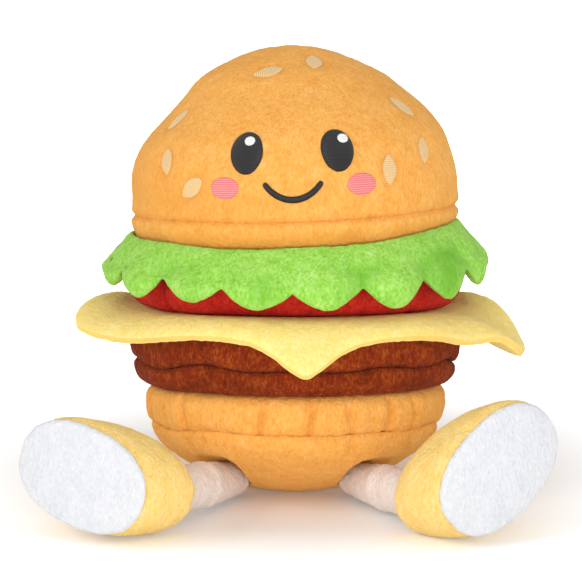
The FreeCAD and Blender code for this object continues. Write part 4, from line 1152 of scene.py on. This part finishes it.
def smooth_through(at, steps, values):
    """A smooth curve through a few values: a cubic between each two, with slopes from their neighbours."""
    steps, values = np.asarray(steps, float), np.asarray(values, float)
    slopes = np.gradient(values, steps)
    index = np.clip(np.searchsorted(steps, at, side="right") - 1, 0, len(steps) - 2)
    gap = steps[index + 1] - steps[index]
    t = (at - steps[index]) / gap
    return ((2 * t ** 3 - 3 * t ** 2 + 1) * values[index] + (t ** 3 - 2 * t ** 2 + t) * gap * slopes[index]
            + (3 * t ** 2 - 2 * t ** 3) * values[index + 1] + (t ** 3 - t ** 2) * gap * slopes[index + 1])


def shoe_grid(side, rows=130):
    """Ovals from the cuff to the welt that shift towards the toe, closed by a cap inside each end."""
    _, ankle, along, toe, across = leg_frame(side)
    angle = directions(SHOE_COLUMNS)
    ahead = np.linspace(SHOE_START, SHOE_DEPTH, rows)[:, None]
    shift, tall, wide = (smooth_through(ahead, SHOE_STEPS, values)
                         for values in (SHOE_SHIFT, SHOE_HALF_LENGTH, SHOE_HALF_WIDTH))
    folds = (0.7 * gathers(angle, 9, seed=71) * np.exp((SHOE_START - ahead) / 8)
             + 0.4 * gathers(angle, 20, seed=72) * np.exp((ahead - SHOE_DEPTH) / 5))
    shut = np.linspace(0, 1, CAP_ROWS)[:, None]
    cuff_in, welt_in = shut[:-1], shut[::-1][1:]
    tall, wide = (np.concatenate([cuff_in * half[:1], half, welt_in * half[-1:]])
                  for half in (tall + folds, wide + folds))
    rolled = ahead[:1] + CUFF_ROLL * (1 - cuff_in ** 6)
    ahead = np.concatenate([rolled, ahead, np.full_like(welt_in, SHOE_DEPTH)])
    shift = np.concatenate([np.full_like(cuff_in, shift[0, 0]), shift, np.full_like(welt_in, shift[-1, 0])])
    square = SHOE_SQUARE * ramp(ahead, SHOE_START, 0.6 * SHOE_DEPTH)
    ahead, shift = np.broadcast_to(ahead, tall.shape), np.broadcast_to(shift, tall.shape)
    return round_line(ankle, along, toe, across, ahead, wide, tall, angle, shift, square)


print("a shoe is", 2 * SHOE_HALF_LENGTH[0], "mm long at the cuff,", 2 * SHOE_HALF_LENGTH[-1], "at the sole")

# %% Soles
SOLE_THICKNESS = 4.0
SOLE_CROWN = 1.8
SOLE_ROUND = 0.07
SOLE_WIDER = 0.6
SOLE_DIMPLE = 0.35


def sole_grid(side, rows=90):
    """A padded oval: its edge is half round, its face swells a little, and its back lies on the shoe."""
    _, ankle, along, toe, across = leg_frame(side)
    angle = directions(SHOE_COLUMNS)
    rim = SOLE_THICKNESS / 2
    edge = arc((0, 0), 1, -90, 90) * [SOLE_ROUND, rim] + [1 - SOLE_ROUND, 0]
    half = evenly(rows, [(0, -rim)], edge, [(0, rim)])
    out = half[:, :1] / half[:, 0].max()
    ahead = SHOE_DEPTH + rim + half[:, 1:] + SOLE_CROWN * np.where(half[:, 1:] > 0, 1 - out ** 2.5, 0)
    ahead = ahead + SOLE_DIMPLE * np.sin(3 * angle + 0.5) * out * (1 - out)
    tall = np.broadcast_to(SHOE_HALF_LENGTH[-1] * out, ahead.shape)
    wide = np.broadcast_to((SHOE_HALF_WIDTH[-1] + SOLE_WIDER) * out, ahead.shape)
    shift = np.full(ahead.shape, float(SHOE_SHIFT[-1]))
    return round_line(ankle, along, toe, across, ahead, wide, tall, angle, shift, SHOE_SQUARE)


print("a sole is", SOLE_THICKNESS, "mm thick and swells by", SOLE_CROWN, "mm")

# %% Covers of the legs and shoes
SHORT_PILE = 0.3
for side in SIDES:
    hip, _, along, _, _ = leg_frame(side)
    bend = [((hip + reach * along) * MM).tolist() for reach in LEG_BEND]
    plush_piece(f"{side}_leg_plush", leg_grid(side), LEG, (f"{side}_hip", f"{side}_leg", *bend),
                pile=SHORT_PILE,
                stands_for=[f"{side}_leg_cover", f"{side}_leg_filling", f"{side}_hip_stitching"])
    plush_piece(f"{side}_shoe_plush", shoe_grid(side), SHOE, f"{side}_foot",
                pile=SHORT_PILE,
                stands_for=[f"{side}_shoe_upper", f"{side}_shoe_filling", f"{side}_ankle_thread"])
    plush_piece(f"{side}_sole_plush", sole_grid(side), SOLE, f"{side}_foot",
                pile=SHORT_PILE, stands_for=[f"{side}_shoe_sole"])

# %% [markdown]
# ## Floor, light and camera
#
# A catalogue picture: white all round, a broad soft light from the upper left, weaker ones from the
# right, the front and above, and a long lens a little above the toy. The floor glows for the camera
# only: hardly at all near the toy, so that it keeps the toy's shadow, and fully further out, so that it
# is white there.

# %% Floor
FLOOR_HALF = 6.0
FLOOR_GLOW = 0.05
GLOW_START = 0.09
GLOW_END = 0.34


def make_floor():
    """A wide flat floor at the seat's level."""
    corner = FLOOR_HALF
    mesh = bpy.data.meshes.new("floor")
    mesh.from_pydata([(-corner, -corner, 0), (corner, -corner, 0), (corner, corner, 0), (-corner, corner, 0)],
                     [], [(0, 1, 2, 3)])
    floor = bpy.data.objects.new("floor", mesh)
    bpy.context.scene.collection.objects.link(floor)
    finish, tree = new_finish("white_studio_paper")
    place = add(tree, "ShaderNodeTexCoord").outputs["Object"]
    away = add(tree, "ShaderNodeVectorMath", {0: place}, operation="LENGTH").outputs["Value"]
    spread = add(tree, "ShaderNodeMapRange", {"Value": away, "From Min": GLOW_START, "From Max": GLOW_END,
                                              "To Min": FLOOR_GLOW, "To Max": 1.0})
    ray = add(tree, "ShaderNodeLightPath").outputs["Is Camera Ray"]
    glow = add(tree, "ShaderNodeMath", {0: ray, 1: spread.outputs["Result"]}, operation="MULTIPLY")
    light = add(tree, "ShaderNodeEmission", {"Color": linear("#FFFFFF"), "Strength": glow.outputs[0]})
    paper = add(tree, "ShaderNodeBsdfDiffuse", {"Color": linear("#FAFAFA")})
    both = add(tree, "ShaderNodeAddShader", {0: light.outputs[0], 1: paper.outputs[0]})
    add(tree, "ShaderNodeOutputMaterial", {"Surface": both.outputs[0]})
    mesh.materials.append(finish)


make_floor()
print("floor:", 2 * FLOOR_HALF, "m wide")

# %% Surroundings
SKY_LIGHT = 0.56


def make_surroundings():
    """White for the camera and in reflections, and a softer even light for everything else."""
    world = bpy.data.worlds.new("studio")
    bpy.context.scene.world = world
    world.use_nodes = True
    tree = world.node_tree
    tree.nodes.clear()
    rays = add(tree, "ShaderNodeLightPath")
    seen = add(tree, "ShaderNodeMath", {0: rays.outputs["Is Camera Ray"], 1: rays.outputs["Is Glossy Ray"]},
               operation="MAXIMUM")
    strength = add(tree, "ShaderNodeMath", {0: seen.outputs[0], 1: 1 - SKY_LIGHT, 2: SKY_LIGHT},
                   operation="MULTIPLY_ADD")
    sky = add(tree, "ShaderNodeBackground", {"Color": linear("#FFFFFF"), "Strength": strength.outputs[0]})
    add(tree, "ShaderNodeOutputWorld", {"Surface": sky.outputs[0]})


make_surroundings()
print("the sky lights the toy with", SKY_LIGHT, "of full white")

# %% Lamps
LAMPS = (
    ("key_light", (-1.4, -0.6, 0.9), 0.9, 8.8),
    ("fill_light", (1.3, -0.6, 0.5), 1.0, 5.0),
    ("front_light", (-0.2, -1.5, 0.22), 0.8, 0.6),
    ("bounce_card", (0.0, -0.7, 0.02), 0.4, 3.2),
    ("top_light", (0.1, 0.3, 1.7), 1.2, 2.8),
)


def make_lamps():
    """Square soft lamps that face the middle of the toy: name, place, side and power."""
    target = Vector((0, 0, 0.1))
    for name, place, size, power in LAMPS:
        data = bpy.data.lights.new(name, "AREA")
        data.size = size
        data.energy = power
        lamp = bpy.data.objects.new(name, data)
        lamp.location = place
        lamp.rotation_euler = (target - Vector(place)).to_track_quat("-Z", "Y").to_euler()
        bpy.context.scene.collection.objects.link(lamp)


make_lamps()
print("lamps:", ", ".join(name for name, *_ in LAMPS))
bpy.context.scene.view_settings.view_transform = "Standard"

# %% Camera
IMAGE_SIZE = 582
FOCAL_PIXELS = 2731.0
DISTANCE = 1.300
ELEVATION = np.radians(11.7)
AIM = Vector((-0.00185, 0, 0.0909))
SENSOR = 36.0
camera_data = bpy.data.cameras.new("camera")
camera_data.sensor_width = SENSOR
camera_data.lens = SENSOR * FOCAL_PIXELS / IMAGE_SIZE
camera = bpy.data.objects.new("camera", camera_data)
back = Vector((0, -np.cos(ELEVATION), np.sin(ELEVATION)))
camera.location = AIM + back * DISTANCE
camera.rotation_euler = (-back).to_track_quat("-Z", "Y").to_euler()
bpy.context.scene.collection.objects.link(camera)
bpy.context.scene.camera = camera
print("camera lens:", round(camera_data.lens, 1), "mm")
